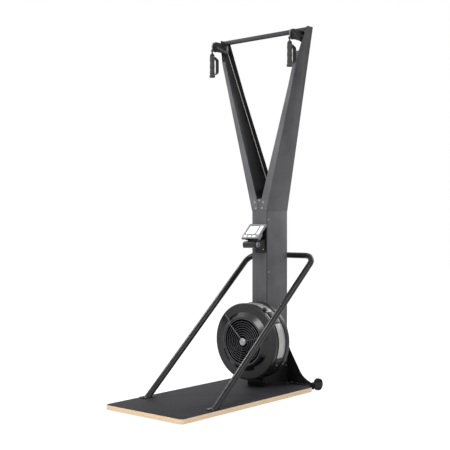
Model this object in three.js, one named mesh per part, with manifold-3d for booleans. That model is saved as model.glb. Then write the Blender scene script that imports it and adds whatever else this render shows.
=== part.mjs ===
// Ski trainer machine: platform, column with two tapered arms, air fan, pull cords and monitor.
// Millimetres, +Z up. Lengths below are measured from the middle of the platform on the floor:
// X to the user's right, Y from the user's end towards the column.
import * as THREE from 'three';
import { mergeVertices } from 'three/addons/utils/BufferGeometryUtils.js';
import Module from 'manifold-3d';

const wasm = await Module();
wasm.setup();

// Gap between pieces that touch
const gap = 0.3;
const runningGap = 0.6;

// Platform
const platformWidth = 610;
const platformLength = 1220;
const platformCorner = 30;
const footHeight = 8;
const footWidth = 44;
const footInset = 60;
const boardThickness = 26;
const matThickness = 2;
const matInset = 3;
const boardTop = footHeight + boardThickness;
const floorTop = boardTop + matThickness;

// Column: a folded sheet, open to the front and closed by a cover
const columnHalf = 58;
const columnDepth = 224;
const columnBack = platformLength / 2 + 57;
const columnFront = columnBack - columnDepth;
const columnTop = 1158;
const sheet = 3;
const coverReturn = 35;

// Arms: tapered channels that lean outwards by armLean and whose rear edge comes forward by rearLean
const armTop = 2306;
const armLean = 0.258;
const rearLean = 132 / (armTop - columnTop);
const crotchHeight = columnTop + 84;
const armWaist = armTop - 371;
const flangeAtCrotch = 57;
const flangeFootHalf = 8;
const flangeAtWaist = 29;
const flangeAtTop = 26;

// Fan, its axis along Y
const fanHeight = 332;
const drumRadius = 242;
const cowlFront = columnFront - 146;
const cowlBack = cowlFront + 21;
const bandFront = columnFront - 102;
const bandBack = columnFront - 35;
const bandRadius = drumRadius - 6;
const rimRadius = drumRadius - 7;
const collarRadius = drumRadius - 60;
const grilleRadius = drumRadius - 95;
const grilleFace = cowlFront - 25;
const wall = 3;

// Cords
const cordRadius = 2.5;
const pulleyRadius = 28;
const pulleyWidth = 12;
const idlerRadius = 22;
const idlerWidth = 16;
const idlerHeight = crotchHeight + 48;
const reelRadius = 26;

// Brace tube
const braceRadius = 19;
const braceHeight = 868;
const braceHalf = platformWidth / 2 - 38;
const braceFootY = -300;

// Monitor
const monitorWidth = 138;
const monitorTall = 130;
const monitorTilt = 45 * Math.PI / 180;
const barrelRadius = 21;
const barrelY = columnFront - 87;
const barrelHeight = columnTop - 216;
const bracketSpan = [barrelHeight - 44, barrelHeight + 34];

// Transport wheels
const wheelRadius = 38;
const wheelWidth = 26;
const wheelX = platformWidth / 2 - 21;
const wheelY = columnBack + 27;
const wheelClear = 2;
const forkClear = 3;

// Colours
const colour = {
  plywood: 0xd2b08a, mat: 0x3a3a3c, rubber: 0x161617, steelGrey: 0x58585a, sideGrey: 0x68686a,
  black: 0x19191a, plastic: 0x2c2c30, silver: 0x9a9ba0, chrome: 0xb8b8bc, bezel: 0xb0b0b0,
  screen: 0xdfe3e0, cord: 0xd8d8d4, grip: 0x202022, key: 0xe9e9e6,
};

// Geometry helpers

// Closed mesh with shared corners only, and no triangle of no area
function tidy(geometry) {
  const bare = new THREE.BufferGeometry();
  bare.setAttribute('position', geometry.attributes.position.clone());
  if (geometry.index) bare.setIndex(Array.from(geometry.index.array));
  const merged = mergeVertices(bare, 1e-3);
  const kept = [];
  const index = merged.index.array;
  for (let i = 0; i < index.length; i += 3) {
    const [a, b, c] = [index[i], index[i + 1], index[i + 2]];
    if (a !== b && b !== c && c !== a) kept.push(a, b, c);
  }
  merged.setIndex(kept);
  return merged;
}

function toSolid(geometry) {
  const clean = tidy(geometry);
  return new wasm.Manifold(new wasm.Mesh({
    numProp: 3,
    vertProperties: new Float32Array(clean.attributes.position.array),
    triVerts: new Uint32Array(clean.index.array),
  }));
}

function toGeometry(solid) {
  const mesh = solid.getMesh();
  const geometry = new THREE.BufferGeometry();
  geometry.setAttribute('position', new THREE.BufferAttribute(new Float32Array(mesh.vertProperties), 3));
  geometry.setIndex(Array.from(mesh.triVerts));
  return geometry;
}

// One body from several that meet or cross
function join(...pieces) {
  return toGeometry(pieces.map(toSolid).reduce((whole, piece) => whole.add(piece)));
}

function cut(body, ...tools) {
  return toGeometry(tools.map(toSolid).reduce((whole, tool) => whole.subtract(tool), toSolid(body)));
}

function move(geometry, x, y, z) {
  return geometry.translate(x, y, z);
}

function box(x0, x1, y0, y1, z0, z1) {
  const geometry = new THREE.BoxGeometry(x1 - x0, y1 - y0, z1 - z0);
  return move(geometry, (x0 + x1) / 2, (y0 + y1) / 2, (z0 + z1) / 2);
}

// Outline whose corners are rounded by a radius of their own, or by one for all
function outline(points, radius = 0) {
  const shape = new THREE.Shape();
  points.forEach(([x, y, own], i) => {
    const corner = new THREE.Vector2(x, y);
    const before = new THREE.Vector2(...points[(i + points.length - 1) % points.length].slice(0, 2));
    const after = new THREE.Vector2(...points[(i + 1) % points.length].slice(0, 2));
    const size = own ?? radius;
    const reach = Math.min(size, corner.distanceTo(before) / 2.05, corner.distanceTo(after) / 2.05);
    const from = corner.clone().add(before.sub(corner).setLength(reach));
    const to = corner.clone().add(after.sub(corner).setLength(reach));
    if (i === 0) shape.moveTo(from.x, from.y);
    else shape.lineTo(from.x, from.y);
    if (reach > 0) shape.quadraticCurveTo(corner.x, corner.y, to.x, to.y);
  });
  shape.closePath();
  return shape;
}

function extrude(shape, depth, steps = 3) {
  return new THREE.ExtrudeGeometry(shape, { depth, bevelEnabled: false, curveSegments: steps });
}

// Plates: the outline lies in two axes and is as thick as the span given in the third
function plateXY(shape, z0, z1, steps) {
  return move(extrude(shape, z1 - z0, steps), 0, 0, z0);
}

function plateXZ(shape, y0, y1, steps) {
  return move(extrude(shape, y1 - y0, steps).rotateX(Math.PI / 2), 0, y1, 0);
}

function plateYZ(shape, x0, x1, steps) {
  const turn = new THREE.Matrix4().makeBasis(
    new THREE.Vector3(0, 1, 0), new THREE.Vector3(0, 0, 1), new THREE.Vector3(1, 0, 0));
  return move(extrude(shape, x1 - x0, steps).applyMatrix4(turn), x0, 0, 0);
}

// Body of revolution about Y from [radius, y] points, listed either way round
function spin(profile, segments = 32) {
  const points = profile.map(([r, y]) => new THREE.Vector2(r, y));
  if (THREE.ShapeUtils.area(points) < 0) points.reverse();
  return tidy(new THREE.LatheGeometry([...points, points[0].clone()], segments));
}

const aboutX = (geometry) => geometry.rotateZ(-Math.PI / 2);
const aboutZ = (geometry) => geometry.rotateX(Math.PI / 2);

function disc(radius, y0, y1, segments = 24) {
  return spin([[0, y0], [radius, y0], [radius, y1], [0, y1]], segments);
}

function ring(inner, outer, y0, y1, segments = 32) {
  return spin([[inner, y0], [outer, y0], [outer, y1], [inner, y1]], segments);
}

// Round bar between two points
function rod(from, to, radius, sides = 12) {
  const start = new THREE.Vector3(...from);
  const end = new THREE.Vector3(...to);
  const way = end.clone().sub(start);
  const bar = new THREE.CylinderGeometry(radius, radius, way.length(), sides);
  const unitY = new THREE.Vector3(0, 1, 0);
  bar.applyQuaternion(new THREE.Quaternion().setFromUnitVectors(unitY, way.clone().normalize()));
  const middle = start.add(end).multiplyScalar(0.5);
  return move(bar, middle.x, middle.y, middle.z);
}

const machine = new THREE.Group();

// The model's origin lies on the floor in the middle of its whole length
const rearReach = wheelY + wheelRadius;
machine.position.y = (platformLength / 2 - rearReach) / 2;

function add(name, geometry, hue, roughness = 0.6, metalness = 0) {
  const material = new THREE.MeshStandardMaterial({ color: hue, roughness, metalness });
  const mesh = new THREE.Mesh(tidy(geometry), material);
  mesh.name = name;
  machine.add(mesh);
  return mesh;
}

// Straight runs joined by arcs: each middle point is [x, y, z, radius]
function bendPath(points, arcSteps = 5) {
  const path = [];
  points.forEach((entry, i) => {
    const corner = new THREE.Vector3(...entry.slice(0, 3));
    if (i === 0 || i === points.length - 1 || !entry[3]) {
      path.push(corner);
      return;
    }
    const back = new THREE.Vector3(...points[i - 1].slice(0, 3)).sub(corner).normalize();
    const ahead = new THREE.Vector3(...points[i + 1].slice(0, 3)).sub(corner).normalize();
    const half = back.angleTo(ahead) / 2;
    const inward = back.clone().add(ahead).normalize();
    const centre = corner.clone().addScaledVector(inward, entry[3] / Math.sin(half));
    const first = corner.clone().addScaledVector(back, entry[3] / Math.tan(half)).sub(centre);
    const last = corner.clone().addScaledVector(ahead, entry[3] / Math.tan(half)).sub(centre);
    const turn = first.angleTo(last);
    const axis = first.clone().cross(last).normalize();
    for (let step = 0; step <= arcSteps; step += 1) {
      path.push(centre.clone().add(first.clone().applyAxisAngle(axis, turn * step / arcSteps)));
    }
  });
  return path.filter((point, i) => i === 0 || point.distanceTo(path[i - 1]) > 0.01);
}

// Round bar along a list of points: a straight prism for each run, mitred where two runs meet
function bar(points, radius, sides = 8) {
  const positions = [];
  const index = [];
  const runs = points.slice(1).map((point, i) => point.clone().sub(points[i]).normalize());
  const helper = Math.abs(runs[0].z) < 0.9 ? new THREE.Vector3(0, 0, 1) : new THREE.Vector3(1, 0, 0);
  const across = helper.cross(runs[0]).normalize();
  points.forEach((point, i) => {
    const run = runs[Math.max(i - 1, 0)];
    const next = runs[Math.min(i, runs.length - 1)];
    const up = run.clone().cross(across);
    const mitre = run.clone().add(next);
    for (let k = 0; k < sides; k += 1) {
      const angle = 2 * Math.PI * (k + 0.5) / sides;
      const offset = across.clone().multiplyScalar(radius * Math.cos(angle));
      offset.addScaledVector(up, radius * Math.sin(angle));
      offset.addScaledVector(run, -offset.dot(mitre) / run.dot(mitre));
      positions.push(...point.clone().add(offset).toArray());
    }
    across.applyQuaternion(new THREE.Quaternion().setFromUnitVectors(run, next));
  });
  const last = (points.length - 1) * sides;
  for (let a = 0; a < last; a += 1) {
    const b = a % sides === sides - 1 ? a - sides + 1 : a + 1;
    index.push(a, b, b + sides, a, b + sides, a + sides);
  }
  for (let k = 1; k < sides - 1; k += 1) index.push(0, k + 1, k, last, last + k, last + k + 1);
  const geometry = new THREE.BufferGeometry();
  geometry.setAttribute('position', new THREE.Float32BufferAttribute(positions, 3));
  geometry.setIndex(index);
  return geometry;
}

function rectangle(halfWidth, halfLength, corner) {
  return outline([
    [-halfWidth, -halfLength], [halfWidth, -halfLength], [halfWidth, halfLength], [-halfWidth, halfLength],
  ], corner);
}

// Platform
function makePlatform() {
  const [halfWidth, halfLength] = [platformWidth / 2, platformLength / 2];
  const boardOutline = rectangle(halfWidth, halfLength, platformCorner);
  add('platform_board', plateXY(boardOutline, footHeight + gap, boardTop, 5), colour.plywood, 0.55);
  const matOutline = rectangle(halfWidth - matInset, halfLength - matInset, platformCorner - matInset);
  add('platform_mat', plateXY(matOutline, boardTop + gap, floorTop, 5), colour.mat, 0.9);
  for (const side of [-1, 1]) {
    const strip = plateXY(rectangle(footWidth / 2, halfLength - footInset, 12), 0, footHeight);
    add(side < 0 ? 'left_foot_strip' : 'right_foot_strip', move(strip, side * (halfWidth - footInset), 0, 0),
      colour.rubber, 0.95);
  }
}

// Base: crossmember behind the board with a fork for each wheel, cradle for the column, flared rear plate
const baseSheet = 4;
const cradleFront = columnFront - 43;
const cradleRise = columnFront + 61;
const cradleHeight = 170;
const cradleLip = fanHeight - drumRadius - 10;
const floorPlateHalf = 140;
const floorPlateFlare = 56;
const plateThickness = 5;
const crossHalf = wheelX - wheelWidth / 2 - forkClear - baseSheet;
const crossFront = platformLength / 2 + gap;
const crossBack = columnBack + 10;
const wheelAxleRadius = 5;
const wheelAxleHeight = wheelRadius + wheelClear;
const gussetTop = 300;
const gussetFoot = crossHalf - 7;

function wheelFork(side) {
  const inner = side * crossHalf;
  const outer = side * (wheelX + wheelWidth / 2 + forkClear + baseSheet);
  const [forkFront, bridgeBack, forkBack] = [crossBack - 40, crossBack - 32, wheelY + 12];
  const earLow = wheelAxleHeight - 15;
  const earHigh = wheelAxleHeight + 15;
  const [x0, x1] = [Math.min(inner, outer), Math.max(inner, outer)];
  const ears = [x0, x1 - baseSheet].map((x) => plateYZ(outline([
    [forkFront, earLow, 3], [forkBack, earLow, 14], [forkBack, earHigh, 14], [forkFront, earHigh, 3],
  ]), x, x + baseSheet));
  const bridge = box(x0 + 1, x1 - 1, forkFront, bridgeBack, earLow, earHigh);
  const axle = rod([x0 - 1, wheelY, wheelAxleHeight], [x1 + 1, wheelY, wheelAxleHeight], wheelAxleRadius);
  const heads = [x0 - 5, x1 - 0.5].map((x) => rod(
    [x, wheelY, wheelAxleHeight], [x + 5.5, wheelY, wheelAxleHeight], 8, 6));
  return join(...ears, bridge, axle, ...heads);
}

function makeBase() {
  const crossTop = floorTop;
  const cross = plateYZ(outline([
    [crossFront, 6], [crossFront + sheet, 6], [crossFront + sheet, crossTop - sheet],
    [crossBack - sheet, crossTop - sheet], [crossBack - sheet, 6], [crossBack, 6],
    [crossBack, crossTop], [crossFront, crossTop],
  ]), -crossHalf - 1, crossHalf + 1);
  add('rear_foot', join(cross, wheelFork(-1), wheelFork(1)), colour.black, 0.5);

  const flangeBack = columnBack - gap;
  const cheekInner = columnHalf + gap;
  const cheekOuter = cheekInner + baseSheet;
  const floorPlate = plateXY(outline([
    [-cheekOuter, cradleFront], [cheekOuter, cradleFront], [cheekOuter, cradleRise - 4, 10],
    [floorPlateHalf, cradleRise + floorPlateFlare, 12], [floorPlateHalf, flangeBack],
    [-floorPlateHalf, flangeBack], [-floorPlateHalf, cradleRise + floorPlateFlare, 12],
    [-cheekOuter, cradleRise - 4, 10],
  ]), floorTop + gap, floorTop + plateThickness);
  const cheekOutline = outline([
    [cradleFront, floorTop + 1], [flangeBack, floorTop + 1], [flangeBack, cradleHeight, 4],
    [cradleRise, cradleHeight, 30], [columnFront + 9, cradleLip + 12, 14], [cradleFront, cradleLip + 4, 8],
  ]);
  const cheeks = [-cheekOuter, cheekInner].map((x) => plateYZ(cheekOutline, x, x + baseSheet));
  const saddle = box(
    -cheekOuter + 1, cheekOuter - 1, cradleFront, cradleFront + baseSheet, floorTop + 1, cradleLip);
  add('base_bracket', join(floorPlate, ...cheeks, saddle), colour.black, 0.45, 0.3);

  const side = (k) => [
    [k * gussetFoot, floorTop + gap], [k * (gussetFoot + 3), 44, 3], [k * (gussetFoot - 42), 62, 60],
    [k * (gussetFoot - 85), 92, 80],
    [k * (columnHalf + 18), gussetTop - 47, 20], [k * columnHalf, gussetTop, 6],
  ];
  const gusset = outline([...side(1), ...side(-1).reverse()], 0);
  const seat = columnBack + gap;
  add('rear_gusset', plateXZ(gusset, seat, seat + plateThickness), colour.black, 0.45, 0.3);
}

function makeWheels() {
  for (const side of [-1, 1]) {
    const half = wheelWidth / 2;
    const wheel = aboutX(spin([
      [wheelAxleRadius + runningGap, -half], [wheelRadius - 2, -half], [wheelRadius, -half + 3],
      [wheelRadius, half - 3], [wheelRadius - 2, half], [wheelRadius - 8, half], [wheelRadius - 9, half - 4],
      [12, half - 4], [12, half], [wheelAxleRadius + runningGap, half],
    ].map(([r, x]) => [r, side * x]), 18));
    const name = side < 0 ? 'left_transport_wheel' : 'right_transport_wheel';
    add(name, move(wheel, side * wheelX, wheelY, wheelAxleHeight), colour.rubber, 0.8);
  }
}

makePlatform();
makeBase();
makeWheels();

// Arm: x of its outer face and y of its rear face at a height
const armOuter = (z) => columnHalf + armLean * (z - columnTop);
const armRear = (z) => columnBack - rearLean * (z - columnTop);
const armWebInner = (z) => armOuter(z) - sheet;
const headNotch = armTop - 154;
const armFront = columnFront - gap - sheet;

// Pulley heads at the arm tops: the cord comes up behind the rear pulley and leaves in front of the other
const headHeight = armTop - 65;
const headX = Math.round(armWebInner(headHeight)) - 19;
const cordLie = pulleyRadius + cordRadius + gap;
const topPulleyY = columnFront + 26;
const exitPulleyY = columnFront - 70;
const cheekSheet = 2.5;
const cheekSpace = pulleyWidth / 2 + 1.2;
const pulleyAxleRadius = 4;
const idlerLie = idlerRadius + cordRadius + 2 * runningGap;
const idlerX = columnHalf + 4;
const idlerY = armRear(idlerHeight) - sheet - 44;

// Column
const cradleFloor = floorTop + plateThickness + gap;
const tongueTop = crotchHeight - 6;
const axleRadius = 10;
const bearingRadius = 34;

function makeColumn() {
  const outer = columnHalf;
  const inner = columnHalf - sheet;
  const frontEdge = columnFront + sheet + gap;
  const channel = plateXY(outline([
    [-outer, frontEdge], [-inner, frontEdge], [-inner, columnBack - sheet], [inner, columnBack - sheet],
    [inner, frontEdge], [outer, frontEdge], [outer, columnBack, 3], [-outer, columnBack, 3],
  ]), cradleFloor, columnTop);
  const tabs = [returnCordYs[0], returnCordYs[1]].map((y) => (
    box(-inner - 1, -returnCordX + 8, y - 9, y + 9, anchorHeight, anchorHeight + 4)));
  add('column_channel', join(channel, ...tabs), colour.sideGrey, 0.5, 0.2);

  const flap = inner - 2 * gap;
  const cover = plateXY(outline([
    [-outer, columnFront], [outer, columnFront], [outer, columnFront + sheet], [flap, columnFront + sheet],
    [flap, columnFront + coverReturn], [flap - sheet, columnFront + coverReturn],
    [flap - sheet, columnFront + sheet], [-flap + sheet, columnFront + sheet],
    [-flap + sheet, columnFront + coverReturn], [-flap, columnFront + coverReturn],
    [-flap, columnFront + sheet], [-outer, columnFront + sheet],
  ]), cradleFloor, columnTop);
  const tongueHalf = (z) => inner - 1 + armLean * (z - columnTop);
  const tongue = plateXZ(outline([
    [-flap, columnTop - 6], [flap, columnTop - 6], [tongueHalf(columnTop) - gap, columnTop + gap],
    [tongueHalf(tongueTop), tongueTop, 8], [-tongueHalf(tongueTop), tongueTop, 8],
    [-tongueHalf(columnTop) + gap, columnTop + gap],
  ]), columnFront, columnFront + sheet);
  const axleHole = move(disc(axleRadius + 4, columnFront - 5, columnFront + 10, 16), 0, 0, fanHeight);
  add('column_front_cover', cut(join(cover, tongue), axleHole), colour.steelGrey, 0.5, 0.2);
}

// Leans a plate with height, the way given for each millimetre of rise
function lean(geometry, perX, perY, fromZ = columnTop) {
  const shear = new THREE.Matrix4().set(
    1, 0, perX, -perX * fromZ,
    0, 1, perY, -perY * fromZ,
    0, 0, 1, 0,
    0, 0, 0, 1);
  return geometry.applyMatrix4(shear);
}

function flangeOutline(side, top) {
  const foot = columnTop + gap;
  const inner = (z) => {
    const waistPart = (z - crotchHeight) / (armWaist - crotchHeight);
    const topPart = (z - armWaist) / (armTop - armWaist);
    const width = z < armWaist
      ? flangeAtCrotch + (flangeAtWaist - flangeAtCrotch) * waistPart
      : flangeAtWaist + (flangeAtTop - flangeAtWaist) * topPart;
    return armOuter(z) - width;
  };
  return outline([
    [side * flangeFootHalf, foot + 8, 10], [side * inner(crotchHeight), crotchHeight, 5],
    [side * inner(armWaist), armWaist],
    [side * inner(top), top, 3], [side * armOuter(top), top], [side * armOuter(foot), foot, 14],
  ]);
}

function makeArm(side) {
  const foot = columnTop + gap;
  const [webLow, webHigh] = side > 0 ? [columnHalf - sheet, columnHalf] : [-columnHalf, sheet - columnHalf];
  const web = lean(plateYZ(outline([
    [armFront, foot], [armRear(foot), foot], [armRear(armTop), armTop, 4], [armFront + 30, armTop, 12],
    [armFront + 12, headNotch + 60, 12], [armFront, headNotch - 10, 4],
  ]), webLow, webHigh), side * armLean, 0);
  const front = plateXZ(flangeOutline(side, headNotch), armFront, armFront + sheet);
  const rear = lean(plateXZ(flangeOutline(side, armTop), columnBack - sheet, columnBack), 0, -rearLean);
  return join(web, front, rear);
}

const crossbarDepth = 30;
const crossbarHeight = 24;

// Pin that an idler turns on, riveted to the rear flange of its arm
function idlerPin(side) {
  const seat = armRear(idlerHeight + 10) - 0.5;
  const x = side * idlerX;
  const pulleyFront = idlerY - idlerWidth / 2 - gap;
  return join(
    rod([x, pulleyFront - 5, idlerHeight], [x, seat, idlerHeight], pulleyAxleRadius, 8),
    rod([x, pulleyFront - 5, idlerHeight], [x, pulleyFront, idlerHeight], 7, 6),
    rod([x, idlerY + idlerWidth / 2 + gap, idlerHeight], [x, seat, idlerHeight], 9, 8));
}

function makeArms() {
  add('left_arm', join(makeArm(-1), idlerPin(-1)), colour.steelGrey, 0.5, 0.2);
  add('right_arm', join(makeArm(1), idlerPin(1)), colour.steelGrey, 0.5, 0.2);

  const spliceFace = columnBack - sheet - gap;
  const half = columnHalf - sheet - 1;
  const lower = box(-half, half, spliceFace - baseSheet, spliceFace, columnTop - 60, columnTop + 1);
  const upperOutline = outline([
    [-half, columnTop], [half, columnTop], [half + armLean * (tongueTop - columnTop), tongueTop, 8],
    [-half - armLean * (tongueTop - columnTop), tongueTop, 8],
  ]);
  const upper = lean(plateXZ(upperOutline, spliceFace - baseSheet, spliceFace), 0, -rearLean);
  add('rear_junction_plate', join(lower, upper), colour.black, 0.5, 0.3);

  const barBack = armRear(armTop) - sheet - 1;
  const barFront = barBack - crossbarDepth;
  const barLow = armTop - crossbarHeight;
  const barHalf = armWebInner(barLow) - runningGap;
  const section = outline([
    [barFront, barLow], [barFront + sheet, barLow], [barFront + sheet, armTop - sheet],
    [barBack - sheet, armTop - sheet], [barBack - sheet, barLow], [barBack, barLow],
    [barBack, armTop], [barFront, armTop],
  ]);
  add('top_crossbar', plateYZ(section, -barHalf, barHalf), colour.steelGrey, 0.5, 0.2);
}

// Pulley heads and the pulleys in them
function pulley(radius, width, bore) {
  const half = width / 2;
  return spin([
    [bore, -half], [radius + 4, -half], [radius + 4, -half + 1.5], [radius, -1.5], [radius, 1.5],
    [radius + 4, half - 1.5], [radius + 4, half], [bore, half],
  ], 12);
}

function makeHead(side) {
  const [low, high] = [headHeight - 26, headHeight + 34];
  const cheek = (x) => plateYZ(outline([
    [exitPulleyY - 22, low, 16], [topPulleyY + 24, low, 6], [topPulleyY + 24, high, 10],
    [exitPulleyY - 22, high, 22],
  ]), x, x + cheekSheet);
  const middle = side * headX;
  const [x0, x1] = [middle - cheekSpace - cheekSheet, middle + cheekSpace + cheekSheet];
  const bridgeY = (exitPulleyY + topPulleyY) / 2;
  const bridge = box(x0 + 1, x1 - 1, bridgeY - 14, bridgeY + 14, low + 1, low + 4);
  const axles = [exitPulleyY, topPulleyY].flatMap((y) => [
    rod([x0 - 1, y, headHeight], [x1 + 1, y, headHeight], pulleyAxleRadius, 8),
    rod([x0 - 3.5, y, headHeight], [x0 + 0.5, y, headHeight], 7, 6),
    rod([x1 - 0.5, y, headHeight], [x1 + 3.5, y, headHeight], 7, 6),
  ]);
  const web = side * (armWebInner(headHeight) - 1);
  const near = side * (headX + cheekSpace + cheekSheet);
  const [s0, s1] = [Math.min(near - side, web), Math.max(near - side, web)];
  const spacer = box(s0, s1, topPulleyY - 15, topPulleyY + 15, headHeight - 8, headHeight + 8);
  const webFace = columnHalf - sheet - gap;
  const [trimLow, trimHigh] = side > 0 ? [webFace, webFace + 40] : [-webFace - 40, -webFace];
  const webTrim = lean(box(trimLow, trimHigh, topPulleyY - 50, topPulleyY + 50, low - 20, high + 20),
    side * armLean, 0);
  return cut(join(cheek(x0), cheek(x1 - cheekSheet), bridge, spacer, ...axles), webTrim);
}

function makeHeads() {
  for (const side of [-1, 1]) {
    const hand = side < 0 ? 'left' : 'right';
    const middle = side * headX;
    add(`${hand}_pulley_head`, makeHead(side), colour.black, 0.5, 0.3);
    const bore = pulleyAxleRadius + runningGap;
    for (const [name, y] of [['top', topPulleyY], ['exit', exitPulleyY]]) {
      const wheel = aboutX(pulley(pulleyRadius, pulleyWidth, bore));
      add(`${hand}_${name}_pulley`, move(wheel, middle, y, headHeight), colour.black, 0.5);
    }
    const idler = pulley(idlerRadius, idlerWidth, pulleyAxleRadius + runningGap);
    add(`${hand}_idler_pulley`, move(idler, side * idlerX, idlerY, idlerHeight), colour.black, 0.5);
  }
}

// Reels on the fan axle, each with a groove for its drive cord and one for its return cord
const reelYs = [columnBack - 122, columnBack - 60];
const reelLie = reelRadius + cordRadius + gap;
const returnGroove = 20;
const returnCordRadius = 3;
const returnCordX = returnGroove + returnCordRadius + gap;
const returnCordYs = reelYs.map((y) => y + 19);
const anchorHeight = columnTop - 68;

function makeReel(y) {
  const bore = axleRadius + runningGap;
  return move(spin([
    [bore, -12], [reelRadius + 8, -12], [reelRadius + 8, -9.5], [reelRadius, -8], [reelRadius, 8],
    [reelRadius + 8, 9.5], [reelRadius + 8, 12.5], [returnGroove, 14.5], [returnGroove, 23.5],
    [reelRadius + 4, 25.5], [reelRadius + 4, 28], [bore, 28],
  ], 12), 0, y, fanHeight);
}

function makeCords() {
  for (const [side, reelY] of [[-1, reelYs[0]], [1, reelYs[1]]]) {
    const hand = side < 0 ? 'left' : 'right';
    const bendTop = headHeight + cordLie;
    const exitY = exitPulleyY - cordLie;
    const entryY = topPulleyY + cordLie;
    const idlerCordX = side * (idlerX - idlerLie);
    const route = bendPath([
      [side * headX, exitY, headHeight],
      [side * headX, exitY, bendTop, cordLie],
      [side * headX, entryY, bendTop, cordLie],
      [side * headX, entryY, headHeight - 16, 60],
      [idlerCordX, idlerY, idlerHeight, idlerLie],
      [reelLie, reelY, fanHeight + 4],
    ], 5);
    add(`${hand}_drive_cord`, bar(route, cordRadius, 5), colour.cord, 0.8);
  }
  returnCordYs.forEach((y, i) => {
    const name = i === 0 ? 'left_return_cord' : 'right_return_cord';
    add(name, bar([
      new THREE.Vector3(-returnCordX, y, fanHeight + 2), new THREE.Vector3(-returnCordX, y, anchorHeight - gap),
    ], returnCordRadius), colour.rubber, 0.9);
  });
}

// Handles, hanging from the exit pulleys
const stopRadius = 9;
const gripRadius = 16;
const gripTop = headHeight - 63;
const gripLength = 140;
const handleY = exitPulleyY - cordLie;

function makeHandles() {
  for (const side of [-1, 1]) {
    const hand = side < 0 ? 'left' : 'right';
    const x = side * headX;
    const ballZ = headHeight - 26;
    const ferruleTop = ballZ - stopRadius + 2;
    add(`${hand}_pull_cord`, bar([
      new THREE.Vector3(x, handleY, ballZ + stopRadius + gap), new THREE.Vector3(x, handleY, headHeight - 1),
    ], cordRadius), colour.cord, 0.8);
    const cap = aboutZ(spin([
      [0, gripTop + gap], [13, gripTop + gap], [15, gripTop + 3], [15, gripTop + 9], [11, gripTop + 15],
      [5, gripTop + 21], [4, ferruleTop - 4], [6, ferruleTop], [stopRadius, ballZ], [6.4, ballZ + 6.4],
      [3, ballZ + stopRadius], [0, ballZ + stopRadius],
    ], 10));
    add(`${hand}_handle_cap`, move(cap, x, handleY, 0), colour.black, 0.5);
    const base = gripTop - gripLength;
    const grip = aboutZ(spin([
      [0, base], [17, base], [19, base + 4], [19, base + 9], [15.5, base + 16], [gripRadius, base + 40],
      [15, base + 62], [gripRadius, base + 90], [14.5, base + 122], [gripRadius, gripTop], [0, gripTop],
    ], 12));
    add(`${hand}_handle_grip`, move(grip, x, handleY, 0), colour.grip, 0.85);
    const strap = bendPath([
      [x, handleY + gripRadius + 1, gripTop - 4], [x, handleY + gripRadius + 34, gripTop - 20, 14],
      [x, handleY + gripRadius + 34, base + 30, 22], [x, handleY + gripRadius + 1, base + 18],
    ], 4);
    const flat = bar(strap, 2, 4);
    flat.translate(-x, 0, 0).scale(7, 1, 1).translate(x, 0, 0);
    add(`${hand}_wrist_strap`, flat, colour.rubber, 0.9);
  }
}

makeColumn();
makeArms();
makeHeads();
makeCords();
makeHandles();

// Fan
const fanSegments = 32;
const postRadius = 5;
const postRing = bandRadius - 17;
const ringInner = postRing + postRadius + 2;
const ringOuter = ringInner + 4;
const damperAngle = 33 * Math.PI / 180;
const shutterFrom = 37 * Math.PI / 180;
const shutterTo = 59 * Math.PI / 180;
const bladeTip = postRing - postRadius - 4;
const wheelFront = cowlBack;
const wheelBack = bandBack - 12;
const wheelPlate = 4;
const wheelShroud = 46;
const hubFront = cowlFront + 9;
const bladeCount = 12;
const spokeCount = 6;
const spokeTurn = 46 * Math.PI / 180;
const wireCount = 6;
const firstWire = 30;
const wirePitch = (grilleRadius - firstWire - 22) / (wireCount - 1);
const wireSize = 2.4;
const pocketTurn = 147 * Math.PI / 180;
const pocketCount = 3;
const bandEnd = 116 * Math.PI / 180;

// Turned clockwise as the user sees it, from straight up
const turnFan = (geometry, angle) => geometry.rotateY(angle);
const atFan = (geometry) => move(geometry, 0, 0, fanHeight);

// Wedge about the fan's axis between two such angles, larger than the drum
function sector(from, to, y0, y1) {
  const wedge = new THREE.Shape();
  wedge.moveTo(0, 0);
  wedge.absarc(0, 0, 2 * drumRadius, Math.PI / 2 - from, Math.PI / 2 - to, true);
  wedge.closePath();
  return plateXZ(wedge, y0, y1, 16);
}

function makeHousing() {
  const backFront = columnFront - gap - 4;
  const lipRadius = bandRadius - wall - gap;
  const shell = spin([
    [30, backFront], [drumRadius - wall, backFront], [drumRadius - wall, bandBack + wall],
    [lipRadius - wall, bandBack + wall], [lipRadius - wall, bandBack - wall], [lipRadius, bandBack - wall],
    [lipRadius, bandBack], [drumRadius, bandBack], [drumRadius, columnFront - gap - 2],
    [drumRadius - 3, columnFront - gap], [30, columnFront - gap],
  ], fanSegments);
  const posts = [];
  for (let k = 0; k < spokeCount; k += 1) {
    const angle = 2 * Math.PI * (k + 0.5) / spokeCount;
    const post = disc(postRadius, cowlFront + wall + gap, backFront + 1, 6);
    posts.push(move(post, postRing * Math.sin(angle), 0, postRing * Math.cos(angle)));
  }
  add('fan_rear_housing', atFan(join(shell, ...posts)), colour.plastic, 0.5);

  // The screen goes round the upper part only, and a plain shroud closes the rest
  const screen = ring(bandRadius - wall, bandRadius, bandFront, bandBack - gap, fanSegments);
  const below = sector(bandEnd, 2 * Math.PI - bandEnd, bandFront - 5, bandBack + 5);
  add('fan_screen_band', atFan(cut(screen, below)), colour.silver, 0.45, 0.6);
  const shroud = ring(bandRadius - wall, bandRadius + 2, bandFront, bandBack - gap, fanSegments);
  const shroudEnd = bandEnd + gap / bandRadius;
  const above = sector(-shroudEnd, shroudEnd, bandFront - 5, bandBack + 5);
  add('fan_lower_shroud', atFan(cut(shroud, above)), colour.plastic, 0.5);
}

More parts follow.
